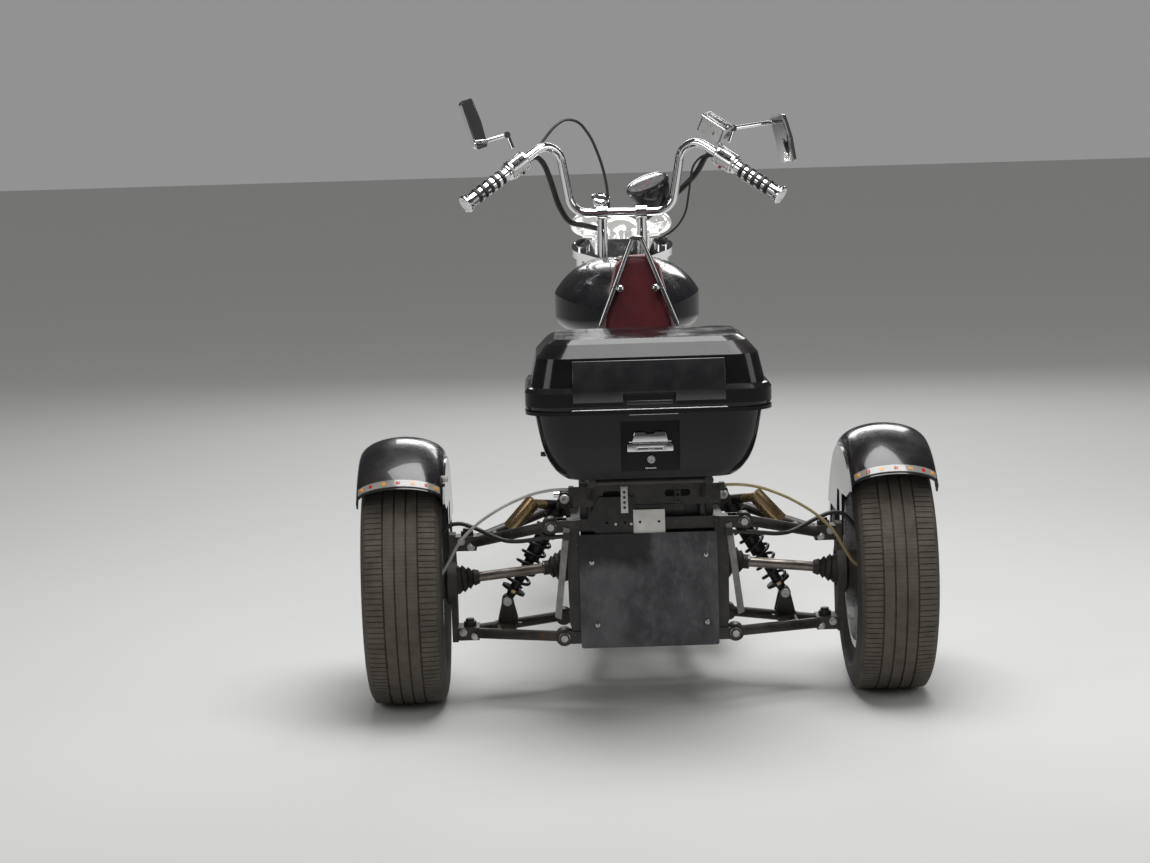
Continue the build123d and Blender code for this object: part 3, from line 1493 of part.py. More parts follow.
# Number plate bracket: perforated straps, dished black plate and a folded white one
bracket_y = cross_plate_y - 4
plate_screw_radius = 3.2
plate_screw_spacing = 42
with BuildPart() as plate_bracket:
    for x, half, low, high in ((-52, 8, 462, 524), (72, 7, 464, 526)):
        with BuildSketch(Plane(origin=(0, bracket_y, 0), x_dir=(1, 0, 0), z_dir=(0, -1, 0))):
            with Locations((x, (low + high) / 2)):
                Rectangle(2 * half, high - low)
                with GridLocations(0, 12, 1, 4):
                    Circle(3.4, mode=Mode.SUBTRACT)
        extrude(amount=3)
    with BuildSketch(Plane(origin=(0, bracket_y - 3, 0), x_dir=(1, 0, 0), z_dir=(0, -1, 0))):
        with BuildLine():
            Polyline((-138, 452), (-112, 500), (-30, 500), (-30, 410), (-96, 410))
            ThreePointArc((-96, 410), (-128, 424), (-138, 452))
        make_face()
        with Locations((-73, 440)):
            with GridLocations(plate_screw_spacing, 0, 2, 1):
                Circle(plate_screw_radius, mode=Mode.SUBTRACT)
    extrude(amount=3)
    with BuildSketch(Plane(origin=(0, bracket_y - 6, 0), x_dir=(1, 0, 0), z_dir=(0, -1, 0))):
        with Locations((5, 440)):
            RectangleRounded(72, 56, 4)
        with Locations((5, 440)):
            with GridLocations(44, 0, 2, 1):
                Circle(plate_screw_radius, mode=Mode.SUBTRACT)
    extrude(amount=3)
    with Locations((5, bracket_y + 1, 467)):
        Box(72, 20, 3)
    with Locations((5, bracket_y - 1.5, 472)):
        Box(160, 3, 14)
plate_bracket.part.label = "plate_bracket"
export_step(plate_bracket.part, "parts/plate_bracket.step")

# Top case: moulded base with a flanged rim, hollow, with a latch bay in its rear wall
case_rear_y = rear_axle_y - case_overhang
case_front_y = case_rear_y + case_depth
case_mid_y = (case_rear_y + case_front_y) / 2
base_table = (
    # z, width, depth, corner radius
    (case_floor_z, case_floor_width, case_depth - 110, 48),
    (case_floor_z + 22, 424, case_depth - 76, 56),
    (case_floor_z + 62, 466, case_depth - 50, 62),
    (case_flange_z - 8, case_flange_width - 40, case_depth - 28, 66),
)
lid_table = (
    (case_flange_z + lid_gap, case_flange_width - 6, case_depth - 6, case_corner),
    (case_flange_z + 10, case_flange_width, case_depth - 2, case_corner),
    (case_flange_z + 40, case_flange_width, case_depth - 2, case_corner),
    (case_flange_z + 49, case_flange_width - 12, case_depth - 14, case_corner - 2),
    (case_flange_z + 51, case_flange_width - 26, case_depth - 28, case_corner - 4),
    (852, case_flange_width - 54, case_depth - 52, 62),
    (880, case_flange_width - 104, case_depth - 104, 54),
    (lid_top_z, case_flange_width - 138, case_depth - 138, 48),
)
bay_half = 65
bay_low = 588
bay_high = 712
bay_back_y = case_rear_y + 40
bay_wall = 7


def case_shell(rows, inset, drop, ruled):
    # Loft through the rounded slices of one half of the case, straight between them where ruled.
    slices = []
    for z, width, depth, corner in rows:
        with BuildSketch(Plane(origin=(0, case_mid_y, z + drop), z_dir=(0, 0, 1))) as slice_face:
            RectangleRounded(width - 2 * inset, depth - 2 * inset, corner - inset)
        slices.append(slice_face.sketch)
    loft(sections=slices, ruled=ruled)


with BuildPart() as base_hollow:
    case_shell(base_table, case_wall, case_wall, ruled=False)
    with Locations((0, bay_back_y + bay_wall - 50, (bay_low + bay_high) / 2)):
        Box(2 * (bay_half + bay_wall), 100, bay_high - bay_low + 2 * bay_wall, mode=Mode.SUBTRACT)
    with Locations((0, case_mid_y, case_flange_z - 2)):
        Box(case_flange_width - 60, case_depth - 60, 14)
with BuildPart() as case_base:
    case_shell(base_table, 0, 0, ruled=False)
    with BuildSketch(Plane(origin=(0, case_mid_y, case_flange_z - 8), z_dir=(0, 0, 1))):
        RectangleRounded(case_flange_width, case_depth, case_corner)
    extrude(amount=8)
    add(base_hollow.part, mode=Mode.SUBTRACT)
    with Locations((0, bay_back_y - 50, (bay_low + bay_high) / 2)):
        Box(2 * bay_half, 100, bay_high - bay_low, mode=Mode.SUBTRACT)
    # outer hinge barrels and the pin, on brackets from the rim
    for side in (-1, 1):
        for x in (side * hinge_x - hinge_length - 1, side * hinge_x + hinge_length + 1):
            barrel_low = (x - hinge_length / 2, hinge_y, hinge_z)
            barrel_high = (x + hinge_length / 2, hinge_y, hinge_z)
            rod([barrel_low, barrel_high], hinge_radius)
            with Locations((x, hinge_y - hinge_reach / 2, case_flange_z - hinge_plate / 2)):
                Box(hinge_length, hinge_reach, hinge_plate)
        pin_half = 1.5 * hinge_length + 1
        pin_low = (side * hinge_x - pin_half, hinge_y, hinge_z)
        pin_high = (side * hinge_x + pin_half, hinge_y, hinge_z)
        rod([pin_low, pin_high], pin_radius)
case_base.part.label = "case_base"
export_step(case_base.part, "parts/case_base.step")

# Lid: hollow shell hinged along the front edge of the rim
with BuildPart() as lid_hollow:
    case_shell(lid_table, case_wall, -case_wall, ruled=True)
with BuildPart() as case_lid:
    case_shell(lid_table, 0, 0, ruled=True)
    add(lid_hollow.part, mode=Mode.SUBTRACT)
    # middle hinge barrels, bored for the pin
    for side in (-1, 1):
        barrel_low = (side * hinge_x - hinge_length / 2, hinge_y, hinge_z)
        barrel_high = (side * hinge_x + hinge_length / 2, hinge_y, hinge_z)
        plate_z = case_flange_z + lid_gap + hinge_plate / 2
        with Locations((side * hinge_x, hinge_y - hinge_reach / 2, plate_z)):
            Box(hinge_length, hinge_reach, hinge_plate)
        rod([barrel_low, barrel_high], hinge_radius)
        rod([barrel_low, barrel_high], pin_radius + press_gap, mode=Mode.SUBTRACT)
case_lid.part.label = "case_lid"
export_step(case_lid.part, "parts/case_lid.step")


def cord(points, radius):
    # A cable of straight runs joined by arcs as large as the runs allow.
    corners = [Vector(*point) for point in points]
    radii = []
    for before, here, after in zip(corners, corners[1:], corners[2:]):
        first = here - before
        second = after - here
        turn = radians(first.get_angle(second))
        radii.append(0.45 * min(first.length, second.length) / tan(turn / 2))
    with BuildLine():
        route = FilletPolyline(*points, radius=radii)
    with BuildSketch(Plane(origin=route @ 0, z_dir=route % 0)) as section:
        Circle(radius)
    sweep(sections=section.sketch, path=route)
    print("cord", round(route.length), "smallest radius", round(min(radii)))


# Handbrake cables from the rack's glands to the backing plates
handbrake_route = [
    # x, y, z on the right side
    (181, cross_plate_y - 4, 520),
    (220, -908, 519),
    (266, -894, 509),
    (332, -878, 481),
    (396, -868, 440),
    (440, -862, 396),
    (466, -856, 348),
    (488, -850, 312),
    (525.5, -846, 298),
]
with BuildPart() as handbrake_cables:
    for side in (-1, 1):
        cord([(side * x, y, z) for x, y, z in handbrake_route], 3.5)
handbrake_cables.part.label = "handbrake_cables"
export_step(handbrake_cables.part, "parts/handbrake_cables.step")

# Brake hoses from the subframe legs, over the wishbones, to the backing plates
hose_route = [
    (196, -928, 412),
    (232, -924, 410),
    (266, -911, 404),
    (300, -892, 397),
    (334, -876, 397),
    (366, -862, 409),
    (402, -853, 426),
    (436, -848, 438),
    (464, -846, 434),
    (484, -844, 412),
    (500, -840, 386),
    (525.5, -836, 368),
]
with BuildPart() as brake_hoses:
    for side in (-1, 1):
        cord([(side * x, y, z) for x, y, z in hose_route], 5)
        with Locations((side * 188, -928, 412)):
            Box(16, 16, 16)
brake_hoses.part.label = "brake_hoses"
export_step(brake_hoses.part, "parts/brake_hoses.step")

# Cables on the bar, each ending on the steered parts
bar_cable_routes = (
    # radius, points
    (
        4,
        [
            (-254, 371, 1266),
            (-222, 396, 1304),
            (-184, 414, 1350),
            (-150, 430, 1372),
            (-112, 444, 1362),
            (-80, 452, 1318),
            (-54, 458, 1250),
            (-40, 462, 1190),
            (-34, 461, 1108),
        ],
    ),
    (
        8,
        [
            (-262, 365, 1260),
            (-234, 394, 1272),
            (-212, 418, 1244),
            (-194, 432, 1190),
            (-178, 446, 1130),
            (-150, 466, 1080),
            (-108, 500, 1070),
            (-62, 540, 1056),
        ],
    ),
    (
        8,
        [
            (262, 365, 1260),
            (240, 392, 1262),
            (214, 418, 1210),
            (160, 440, 1156),
            (104, 470, 1112),
            (62, 520, 1076),
        ],
    ),
    (
        3,
        [
            (264, 339, 1260),
            (230, 372, 1262),
            (200, 400, 1232),
            (190, 412, 1160),
            (180, 424, 1096),
            (150, 448, 1052),
            (104, 474, 1024),
        ],
    ),
)
with BuildPart() as bar_cables:
    for radius, points in bar_cable_routes:
        cord(points, radius)
bar_cables.part.label = "bar_cables"
export_step(bar_cables.part, "parts/bar_cables.step")
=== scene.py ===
import bpy
import bmesh
import json
from math import atan2, cos, pi, radians, sin, sqrt
from mathutils import Matrix, Vector

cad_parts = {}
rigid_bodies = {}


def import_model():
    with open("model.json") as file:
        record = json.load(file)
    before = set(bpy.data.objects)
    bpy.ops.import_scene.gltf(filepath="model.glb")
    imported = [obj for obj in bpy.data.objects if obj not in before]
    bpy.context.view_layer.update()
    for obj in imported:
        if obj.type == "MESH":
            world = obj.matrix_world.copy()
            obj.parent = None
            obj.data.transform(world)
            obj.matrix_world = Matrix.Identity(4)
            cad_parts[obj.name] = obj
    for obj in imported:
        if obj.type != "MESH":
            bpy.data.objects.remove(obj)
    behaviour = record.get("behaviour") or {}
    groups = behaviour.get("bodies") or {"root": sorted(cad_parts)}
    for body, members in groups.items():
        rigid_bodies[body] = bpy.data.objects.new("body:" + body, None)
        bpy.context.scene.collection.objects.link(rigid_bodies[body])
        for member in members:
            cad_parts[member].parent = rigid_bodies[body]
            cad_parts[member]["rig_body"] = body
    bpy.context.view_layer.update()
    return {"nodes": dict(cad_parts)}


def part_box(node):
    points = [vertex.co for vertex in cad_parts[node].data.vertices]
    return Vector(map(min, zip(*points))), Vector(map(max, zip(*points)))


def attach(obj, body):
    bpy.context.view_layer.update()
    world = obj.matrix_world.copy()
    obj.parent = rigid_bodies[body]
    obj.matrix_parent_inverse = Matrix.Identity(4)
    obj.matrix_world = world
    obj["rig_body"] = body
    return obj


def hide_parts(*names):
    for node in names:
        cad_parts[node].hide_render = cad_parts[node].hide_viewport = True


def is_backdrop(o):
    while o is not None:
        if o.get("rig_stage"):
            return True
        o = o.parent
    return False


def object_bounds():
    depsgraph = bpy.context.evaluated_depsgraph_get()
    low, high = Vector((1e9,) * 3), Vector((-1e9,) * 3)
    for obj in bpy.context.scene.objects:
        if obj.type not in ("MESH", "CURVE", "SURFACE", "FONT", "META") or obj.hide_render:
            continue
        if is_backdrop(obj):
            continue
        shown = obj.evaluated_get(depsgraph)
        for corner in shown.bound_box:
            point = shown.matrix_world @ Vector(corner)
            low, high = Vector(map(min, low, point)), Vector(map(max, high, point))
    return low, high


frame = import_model()
nodes = frame["nodes"]

# Camera: stands behind the trike at eye height and looks slightly down
cameraSetup = {
    "place": (-0.215, -6.787, 1.381),
    "turnRight": 0.52,
    "lookDown": 7.05,
    "roll": -1.68,
    "focalPixels": 2558,
    "photoWidth": 1150,
    "sensor": 36.0,
    "farClip": 60,
}


def makeCamera(setup):
    bpy.ops.object.camera_add(location=setup["place"])
    camera = bpy.context.object
    turn = (
        Matrix.Rotation(radians(-setup["turnRight"]), 3, "Z")
        @ Matrix.Rotation(radians(90 - setup["lookDown"]), 3, "X")
        @ Matrix.Rotation(radians(setup["roll"]), 3, "Z")
    )
    camera.rotation_euler = turn.to_euler()
    camera.data.sensor_width = setup["sensor"]
    camera.data.lens = setup["focalPixels"] / setup["photoWidth"] * setup["sensor"]
    camera.data.clip_end = setup["farClip"]
    bpy.context.scene.camera = camera


makeCamera(cameraSetup)
bpy.context.scene.view_settings.view_transform = "Standard"
print("camera placed")


# One shader value or colour, so that shader maths reads as plain arithmetic
class Wire:
    def __init__(self, finish, socket):
        self.finish = finish
        self.socket = socket

    def __add__(self, other):
        return self.finish.curve("ADD", self, other)

    def __mul__(self, other):
        return self.finish.curve("MULTIPLY", self, other)

    def __pow__(self, other):
        return self.finish.curve("POWER", self, other)

    def __gt__(self, other):
        return self.finish.curve("GREATER_THAN", self, other)

    def __lt__(self, other):
        return self.finish.curve("LESS_THAN", self, other)

    def __radd__(self, other):
        return self.finish.curve("ADD", other, self)

    def __rsub__(self, other):
        return self.finish.curve("SUBTRACT", other, self)

    def __rmul__(self, other):
        return self.finish.curve("MULTIPLY", other, self)


# A material and the few node patterns that its finish is mixed from
class Finish:
    def __init__(self, name, **fixed):
        self.material = bpy.data.materials.new(name)
        self.material.use_nodes = True
        self.tree = self.material.node_tree
        self.shader = self.tree.nodes["Principled BSDF"]
        for socket, value in fixed.items():
            self.shader.inputs[socket.replace("_", " ")].default_value = value
        self.place = self.node("ShaderNodeTexCoord", output="Object")

    def node(self, kind, settings=None, sockets=None, output=0):
        made = self.tree.nodes.new(kind)
        for key, value in (settings or {}).items():
            setattr(made, key, value)
        for key, value in (sockets or {}).items():
            self.feed(made.inputs[key], value)
        return Wire(self, made.outputs[output])

    def feed(self, socket, value):
        if isinstance(value, Wire):
            self.tree.links.new(value.socket, socket)
        else:
            socket.default_value = value

    def set(self, **varying):
        for socket, value in varying.items():
            self.feed(self.shader.inputs[socket.replace("_", " ")], value)
        return self.material

    def noise(self, scale, detail, rough=0.55, stretch=(1, 1, 1)):
        spread = self.node("ShaderNodeMapping", {}, {"Vector": self.place, "Scale": stretch})
        sockets = {"Vector": spread, "Scale": scale, "Detail": detail, "Roughness": rough}
        return self.node("ShaderNodeTexNoise", {}, sockets)

    def cells(self, scale, feature="F1"):
        return self.node("ShaderNodeTexVoronoi", {"feature": feature}, {"Vector": self.place, "Scale": scale})

    def ramp(self, value, low, high):
        sockets = {"Value": value, "From Min": low, "From Max": high}
        return self.node("ShaderNodeMapRange", {"clamp": True}, sockets)

    def patches(self, low, high, *noise):
        return self.ramp(self.noise(*noise), low, high)

    def mottle(self, dirt):
        return self.patches(0.35, 0.68, 30, 5, 0.6), self.patches(0.46, 0.74, 17, 6, 0.65) * dirt

    def blend(self, share, first, second):
        sockets = {"Factor": share, 6: first, 7: second}
        return self.node("ShaderNodeMix", {"data_type": "RGBA"}, sockets, output=2)

    def axis(self, letter, direction=None):
        return self.node("ShaderNodeSeparateXYZ", {}, {0: direction or self.place}, output=letter)

    def upward(self):
        return self.axis("Z", self.node("ShaderNodeTexCoord", output="Normal"))

    def curve(self, operation, *values):
        return self.node("ShaderNodeMath", {"operation": operation}, dict(enumerate(values)))

    def bump(self, height, depth, strength=1.0):
        return self.node("ShaderNodeBump", {}, {"Height": height, "Distance": depth, "Strength": strength})


def tone(red, green, blue):
    return (red, green, blue, 1)


roadDust = tone(0.20, 0.18, 0.155)
rustBrown = tone(0.13, 0.055, 0.025)
filmBrown = tone(0.12, 0.10, 0.08)


# Black lacquer with a fine metal fleck, a little dust on what faces up
def blackLacquer():
    finish = Finish("blackLacquer", Coat_Weight=0.42, Coat_Roughness=0.035, Specular_IOR_Level=0.3)
    fleck = finish.cells(420) < 0.22
    sparkle = fleck * finish.patches(0.45, 0.75, 160, 1)
    patches = finish.patches(0.42, 0.75, 7, 5)
    dust = patches * finish.ramp(finish.upward(), 0.1, 0.95) * 0.16
    flecked = finish.blend(sparkle * 0.55, tone(0.006, 0.006, 0.008), tone(0.16, 0.165, 0.18))
    return finish.set(
        Base_Color=finish.blend(dust, flecked, roadDust),
        Roughness=0.14 + dust * 1.5 + patches * 0.05,
    )


# Chrome with wiped smears and a few pits
def chromePlate(name="chromePlate", shade=0.82, polish=0.05, glow=0.0):
    finish = Finish(name, Metallic=1.0, Emission_Color=tone(1, 0.98, 0.94), Emission_Strength=glow)
    smear = finish.patches(0.45, 0.8, 26, 5, 0.6, (1, 1, 0.4))
    pits = (finish.cells(210) < 0.09) * finish.patches(0.52, 0.6, 18, 3)
    wiped = tone(shade * 0.8, shade * 0.79, shade * 0.77)
    bright = finish.blend(smear * 0.5, tone(shade, shade, shade * 1.01), wiped)
    return finish.set(
        Base_Color=finish.blend(pits * 0.85, bright, tone(0.10, 0.06, 0.04)),
        Roughness=polish + smear * 0.16 + pits * 0.4,
    )


# Glossy moulded plastic of the top case, with swirl marks and settled dust
def caseMoulding():
    finish = Finish("caseMoulding", Coat_Weight=0.22, Coat_Roughness=0.05, Specular_IOR_Level=0.22)
    swirls = finish.patches(0.55, 0.8, 60, 6, 0.7, (1, 1, 0.15))
    patches = finish.patches(0.4, 0.75, 11, 5)
    dust = patches * finish.ramp(finish.upward(), 0.0, 1.0) * 0.2
    return finish.set(
        Base_Color=finish.blend(dust, tone(0.008, 0.008, 0.009), roadDust),
        Roughness=0.11 + swirls * 0.08 + dust * 1.3,
        Normal=finish.bump(finish.noise(420, 2), 0.0002, 0.25),
    )


# Chassis paint: satin black under road film, stone chips and rust along the lower runs
def chassisPaint():
    finish = Finish("chassisPaint")
    film = finish.patches(0.36, 0.72, 14, 6, 0.62)
    low = finish.ramp(finish.axis("Z"), 0.62, 0.1)
    chips = (finish.cells(95) < 0.13) * finish.patches(0.5, 0.58, 22, 3)
    rust = finish.patches(0.585, 0.66, 38, 6, 0.68) * low
    grime = film * (0.2 + low * 0.5)
    dirty = finish.blend(grime, tone(0.018, 0.017, 0.016), tone(0.105, 0.088, 0.068))
    worn = finish.blend(rust * 0.85, dirty, rustBrown)
    return finish.set(
        Base_Color=finish.blend(chips * 0.7, worn, tone(0.22, 0.21, 0.2)),
        Roughness=0.34 + grime * 0.42 + rust * 0.2,
        Metallic=chips * 0.6,
        Normal=finish.bump(finish.noise(260, 5), 0.0006, 0.4),
    )


# Closing panel: scuffed grey steel, cloudy wipes, scratches and oil at the seams, and a painted shadow
# darkening its top left corner
def scuffedSteel():
    finish = Finish("scuffedSteel")
    clouds = finish.patches(0.36, 0.68, 9, 7, 0.62)
    wipes = finish.patches(0.46, 0.7, 34, 6, 0.7, (1, 1, 0.7))
    scratch = finish.patches(0.66, 0.72, 150, 3, 0.6, (1, 1, 0.1))
    # Painted shadow: the panel's top left corner is darkened almost to black, its border roughened by noise
    edge = finish.noise(26, 4, 0.6) * 0.06
    shadowTop = finish.ramp(finish.axis("Z") + edge, 0.355, 0.385)
    shadow = shadowTop * finish.ramp(finish.axis("X") + edge, 0.055, 0.025)
    stain = finish.patches(0.55, 0.68, 5.5, 4, 0.5)
    grey = finish.blend(clouds, tone(0.052, 0.05, 0.056), tone(0.115, 0.112, 0.12))
    wiped = finish.blend(wipes * 0.45, grey, tone(0.16, 0.16, 0.17))
    oiled = finish.blend(stain * 0.6, wiped, tone(0.026, 0.025, 0.026))
    scratched = finish.blend(scratch * 0.3, oiled, tone(0.3, 0.3, 0.31))
    return finish.set(
        Base_Color=finish.blend(shadow * 0.86, scratched, tone(0.012, 0.012, 0.013)),
        Roughness=0.62 - wipes * 0.14 + stain * 0.1,
        Metallic=0.25 + scratch * 0.4,
        Normal=finish.bump(clouds + wipes * 0.4, 0.0005, 0.5),
    )


# Tyre rubber: dusty brown tread, darker walls, darker below the tread face, fine sipes and moulding lines
def tyreRubber(name, hub, radius, ridgeCount=190):
    finish = Finish(name, Specular_IOR_Level=0.3)
    fromHub = [-value for value in hub]
    centred = finish.node("ShaderNodeMapping", {}, {"Vector": finish.place, "Location": fromHub})
    along, height = finish.axis("Y", centred), finish.axis("Z", centred)
    reach = (along * along + height * height) ** 0.5
    tread = finish.ramp(reach, radius - 0.03, radius - 0.006)
    grooves = finish.ramp(reach, radius - 0.003, radius - 0.009)
    dusty = finish.patches(0.3, 0.7, 24, 6, 0.65)
    ridges = finish.curve("SINE", finish.curve("ARCTAN2", along, height) * ridgeCount)
    wallRings = finish.curve("SINE", reach * 1500)
    wall = 1 - tread
    black = finish.blend(dusty * 0.6, tone(0.022, 0.021, 0.02), tone(0.05, 0.046, 0.04))
    worn = finish.blend(tread * (0.45 + dusty * 0.5), black, tone(0.118, 0.102, 0.082))
    # The rubber is darker where it lies more than a few millimetres below the tread face
    darkerBelowTread = finish.blend(grooves * tread * 0.35, worn, tone(0.045, 0.04, 0.034))
    relief = ridges * tread * 0.35 + wallRings * wall * 0.3 + finish.noise(340, 4)
    return finish.set(
        Base_Color=darkerBelowTread,
        Roughness=0.62 + tread * 0.26,
        Normal=finish.bump(relief, 0.0008, 0.6),
    )


# Cast or machined light alloy, with brake dust gathered in patches
def lightAlloy(name, shade, rough, grime):
    finish = Finish(name)
    clouds = finish.patches(0.35, 0.7, 20, 5)
    film = finish.patches(0.5, 0.72, 46, 6, 0.66)
    dull = tone(shade * 0.72, shade * 0.71, shade * 0.69)
    clean = finish.blend(clouds * 0.4, tone(shade, shade, shade), dull)
    return finish.set(
        Base_Color=finish.blend(film * grime, clean, tone(0.07, 0.058, 0.045)),
        Roughness=rough + clouds * 0.1 + film * grime * 0.4,
        Metallic=1 - film * grime,
        Normal=finish.bump(finish.noise(520, 3), 0.0003, 0.35),
    )


# Plain coloured metal, rubber or plastic with its own mottling, grain and dirt
def mottled(name, first, second, rough, metal, grain, depth, dirt, **fixed):
    finish = Finish(name, **fixed)
    clouds, film = finish.mottle(dirt)
    mixed = finish.blend(clouds, tone(*first), tone(*second))
    return finish.set(
        Base_Color=finish.blend(film, mixed, filmBrown),
        Roughness=rough + clouds * 0.08 + film * 0.3,
        Metallic=metal * (1 - film),
        Normal=finish.bump(finish.noise(grain, 4), depth, 0.5),
    )


# Burgundy vinyl: pebbled grain, painted shade darkening the hollows, rubbed along the crown
def burgundyVinyl():
    finish = Finish("burgundyVinyl", Specular_IOR_Level=0.45)
    pebbles = finish.cells(620)
    creases = finish.cells(340, feature="DISTANCE_TO_EDGE")
    rubbed = finish.patches(0.4, 0.7, 12, 5)
    red = finish.blend(rubbed, tone(0.105, 0.012, 0.018), tone(0.15, 0.02, 0.027))
    # Painted shade: the red darkened along the creases between the pebbles
    sunk = finish.ramp(creases, 0.12, 0.0) * 0.4
    return finish.set(
        Base_Color=finish.blend(sunk, red, tone(0.05, 0.006, 0.009)),
        Roughness=0.46 - rubbed * 0.08 + pebbles * 0.1,
        Normal=finish.bump(finish.ramp(creases, 0.0, 0.35), 0.0007, 0.55),
    )


# Clear or tinted glass, and lit glass
def lensGlass(name, shade, clear, glow=0.0, rough=0.04):
    lit = tone(1, 0.98, 0.92)
    finish = Finish(name, Transmission_Weight=clear, IOR=1.49, Emission_Color=lit, Emission_Strength=glow)
    flutes = finish.curve("SINE", finish.axis("X") * 900)
    smear = finish.patches(0.5, 0.8, 35, 4)
    return finish.set(
        Base_Color=finish.blend(smear * 0.2, tone(*shade), tone(0.5, 0.48, 0.45)),
        Roughness=rough + smear * 0.1,
        Normal=finish.bump(flutes, 0.0004, 0.4),
    )


finishes = {
    "lacquer": blackLacquer(), "moulding": caseMoulding(), "chassis": chassisPaint(),
    "panel": scuffedSteel(), "vinyl": burgundyVinyl(), "chrome": chromePlate(),
    # Headlamp and spot lamp bodies: chrome that glows all over, a painted glare on their backs
    "glareChrome": chromePlate("glareChrome", 0.88, 0.12, 0.42),
    "greyChrome": chromePlate("greyChrome", 0.42, 0.16),
    "mirrorGlass": chromePlate("mirrorGlass", 0.7, 0.015),
    "alloyWheel": lightAlloy("alloyWheel", 0.62, 0.24, 0.45),
    "castAlloy": lightAlloy("castAlloy", 0.36, 0.42, 0.5),
    "satinMetal": lightAlloy("satinMetal", 0.66, 0.22, 0.18),
    "steelFixing": lightAlloy("steelFixing", 0.58, 0.3, 0.35),
    "litLens": lensGlass("litLens", (0.95, 0.94, 0.9), 0.3, glow=2.2),
    "amberLens": lensGlass("amberLens", (0.8, 0.3, 0.02), 0.2),
    "redLens": lensGlass("redLens", (0.5, 0.02, 0.015), 0.2),
    "windowGlass": lensGlass("windowGlass", (0.95, 0.95, 0.95), 0.95, 0, 0.01),
}

# Mottled finishes: two shades, roughness, metal, grain, depth of grain, dirt
mottledFinishes = {
    "hoseRubber": ((0.014, 0.014, 0.014), (0.024, 0.023, 0.022), 0.4, 0, 500, 0.0002, 0.15),
    "castIron": ((0.05, 0.046, 0.042), (0.095, 0.083, 0.07), 0.62, 0.35, 240, 0.0012, 0.6),
    "engineBlack": ((0.02, 0.02, 0.02), (0.032, 0.031, 0.03), 0.42, 0.1, 350, 0.0006, 0.3),
    "springBlack": ((0.012, 0.012, 0.012), (0.02, 0.02, 0.02), 0.26, 0, 300, 0.0002, 0.25),
    "blackPlastic": ((0.016, 0.016, 0.017), (0.024, 0.024, 0.025), 0.44, 0, 700, 0.0004, 0.15),
    "whitePaint": ((0.66, 0.65, 0.62), (0.54, 0.52, 0.48), 0.4, 0, 300, 0.0003, 0.3),
    "bracketBlack": ((0.02, 0.02, 0.021), (0.034, 0.033, 0.033), 0.36, 0, 260, 0.0004, 0.3),
    "whiteZinc": ((0.72, 0.72, 0.7), (0.6, 0.6, 0.57), 0.34, 0.3, 500, 0.0002, 0.2),
    "redPlastic": ((0.32, 0.02, 0.015), (0.4, 0.03, 0.02), 0.4, 0, 600, 0.0002, 0.15),
    "smoked": ((0.012, 0.012, 0.014), (0.02, 0.02, 0.022), 0.1, 0, 300, 0.0001, 0.1),
    "stripLens": ((0.2, 0.19, 0.175), (0.27, 0.26, 0.24), 0.12, 0, 300, 0.0002, 0.3),
    "polishedBlack": ((0.012, 0.012, 0.013), (0.018, 0.018, 0.019), 0.12, 0, 300, 0.0001, 0.05),
    "piping": ((0.33, 0.2, 0.19), (0.42, 0.28, 0.26), 0.42, 0, 600, 0.0002, 0.1),
    # Pale grey of the side leg plates, a painted highlight
    "highlightGrey": ((0.30, 0.295, 0.28), (0.20, 0.19, 0.175), 0.45, 0.2, 200, 0.0004, 0.55),
}
# Weight and roughness of the clear coat, where a mottled finish has one
coats = {"smoked": (1.0, 0.03), "stripLens": (0.6, 0.04), "polishedBlack": (0.8, 0.03)}
for finishName, row in mottledFinishes.items():
    coatWeight, coatRoughness = coats.get(finishName, (0.0, 0.03))
    finishes[finishName] = mottled(finishName, *row, Coat_Weight=coatWeight, Coat_Roughness=coatRoughness)


def clearSelection():
    if bpy.context.mode != "OBJECT":
        bpy.ops.object.mode_set(mode="OBJECT")
    bpy.ops.object.select_all(action="DESELECT")


def activate(piece):
    clearSelection()
    piece.select_set(True)
    bpy.context.view_layer.objects.active = piece


def edit(piece):
    # Opens the piece for editing with all of it selected
    activate(piece)
    bpy.ops.object.mode_set(mode="EDIT")
    bpy.ops.mesh.select_mode(type="VERT")
    bpy.ops.mesh.select_all(action="SELECT")


def orient(gap=0.0):
    # Welds corners closer than the gap and turns every face of the edited piece outwards
    bpy.ops.mesh.select_all(action="SELECT")
    if gap:
        bpy.ops.mesh.remove_doubles(threshold=gap)
    bpy.ops.mesh.normals_make_consistent(inside=False)


def pick(test):
    # Selects only those faces of the edited piece that pass the test
    bpy.ops.mesh.select_mode(type="FACE")
    bpy.ops.mesh.select_all(action="DESELECT")
    mesh = bmesh.from_edit_mesh(bpy.context.edit_object.data)
    for face in mesh.faces:
        if test(face):
            face.select_set(True)
    mesh.select_flush_mode()
    bmesh.update_edit_mesh(bpy.context.edit_object.data)


def modify(piece, kind, **settings):
    # Adds one modifier, sets it and applies it
    activate(piece)
    modifier = piece.modifiers.new(kind.lower(), kind)
    for key, value in settings.items():
        setattr(modifier, key, value)
    bpy.ops.object.modifier_apply(modifier=modifier.name)


def discard(piece):
    bpy.data.objects.remove(piece, do_unlink=True)


def cutOut(piece, tool):
    modify(piece, "BOOLEAN", operation="DIFFERENCE", object=tool)
    discard(tool)


def settle(piece, name, finish, body, smooth=35):
    # Gives the finished piece its name, finish, smoothing angle and body
    activate(piece)
    bpy.ops.object.transform_apply(location=True, rotation=True, scale=True)
    piece.name = name
    piece.data.name = name
    piece.data.materials.clear()
    piece.data.materials.append(finishes[finish])
    if smooth:
        bpy.ops.object.shade_smooth_by_angle(angle=radians(smooth))
    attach(piece, body)
    return piece


def merge(parts):
    # Joins loose pieces into the first one
    clearSelection()
    for part in parts:
        part.select_set(True)
    bpy.context.view_layer.objects.active = parts[0]
    if len(parts) > 1:
        bpy.ops.object.join()
    return bpy.context.object


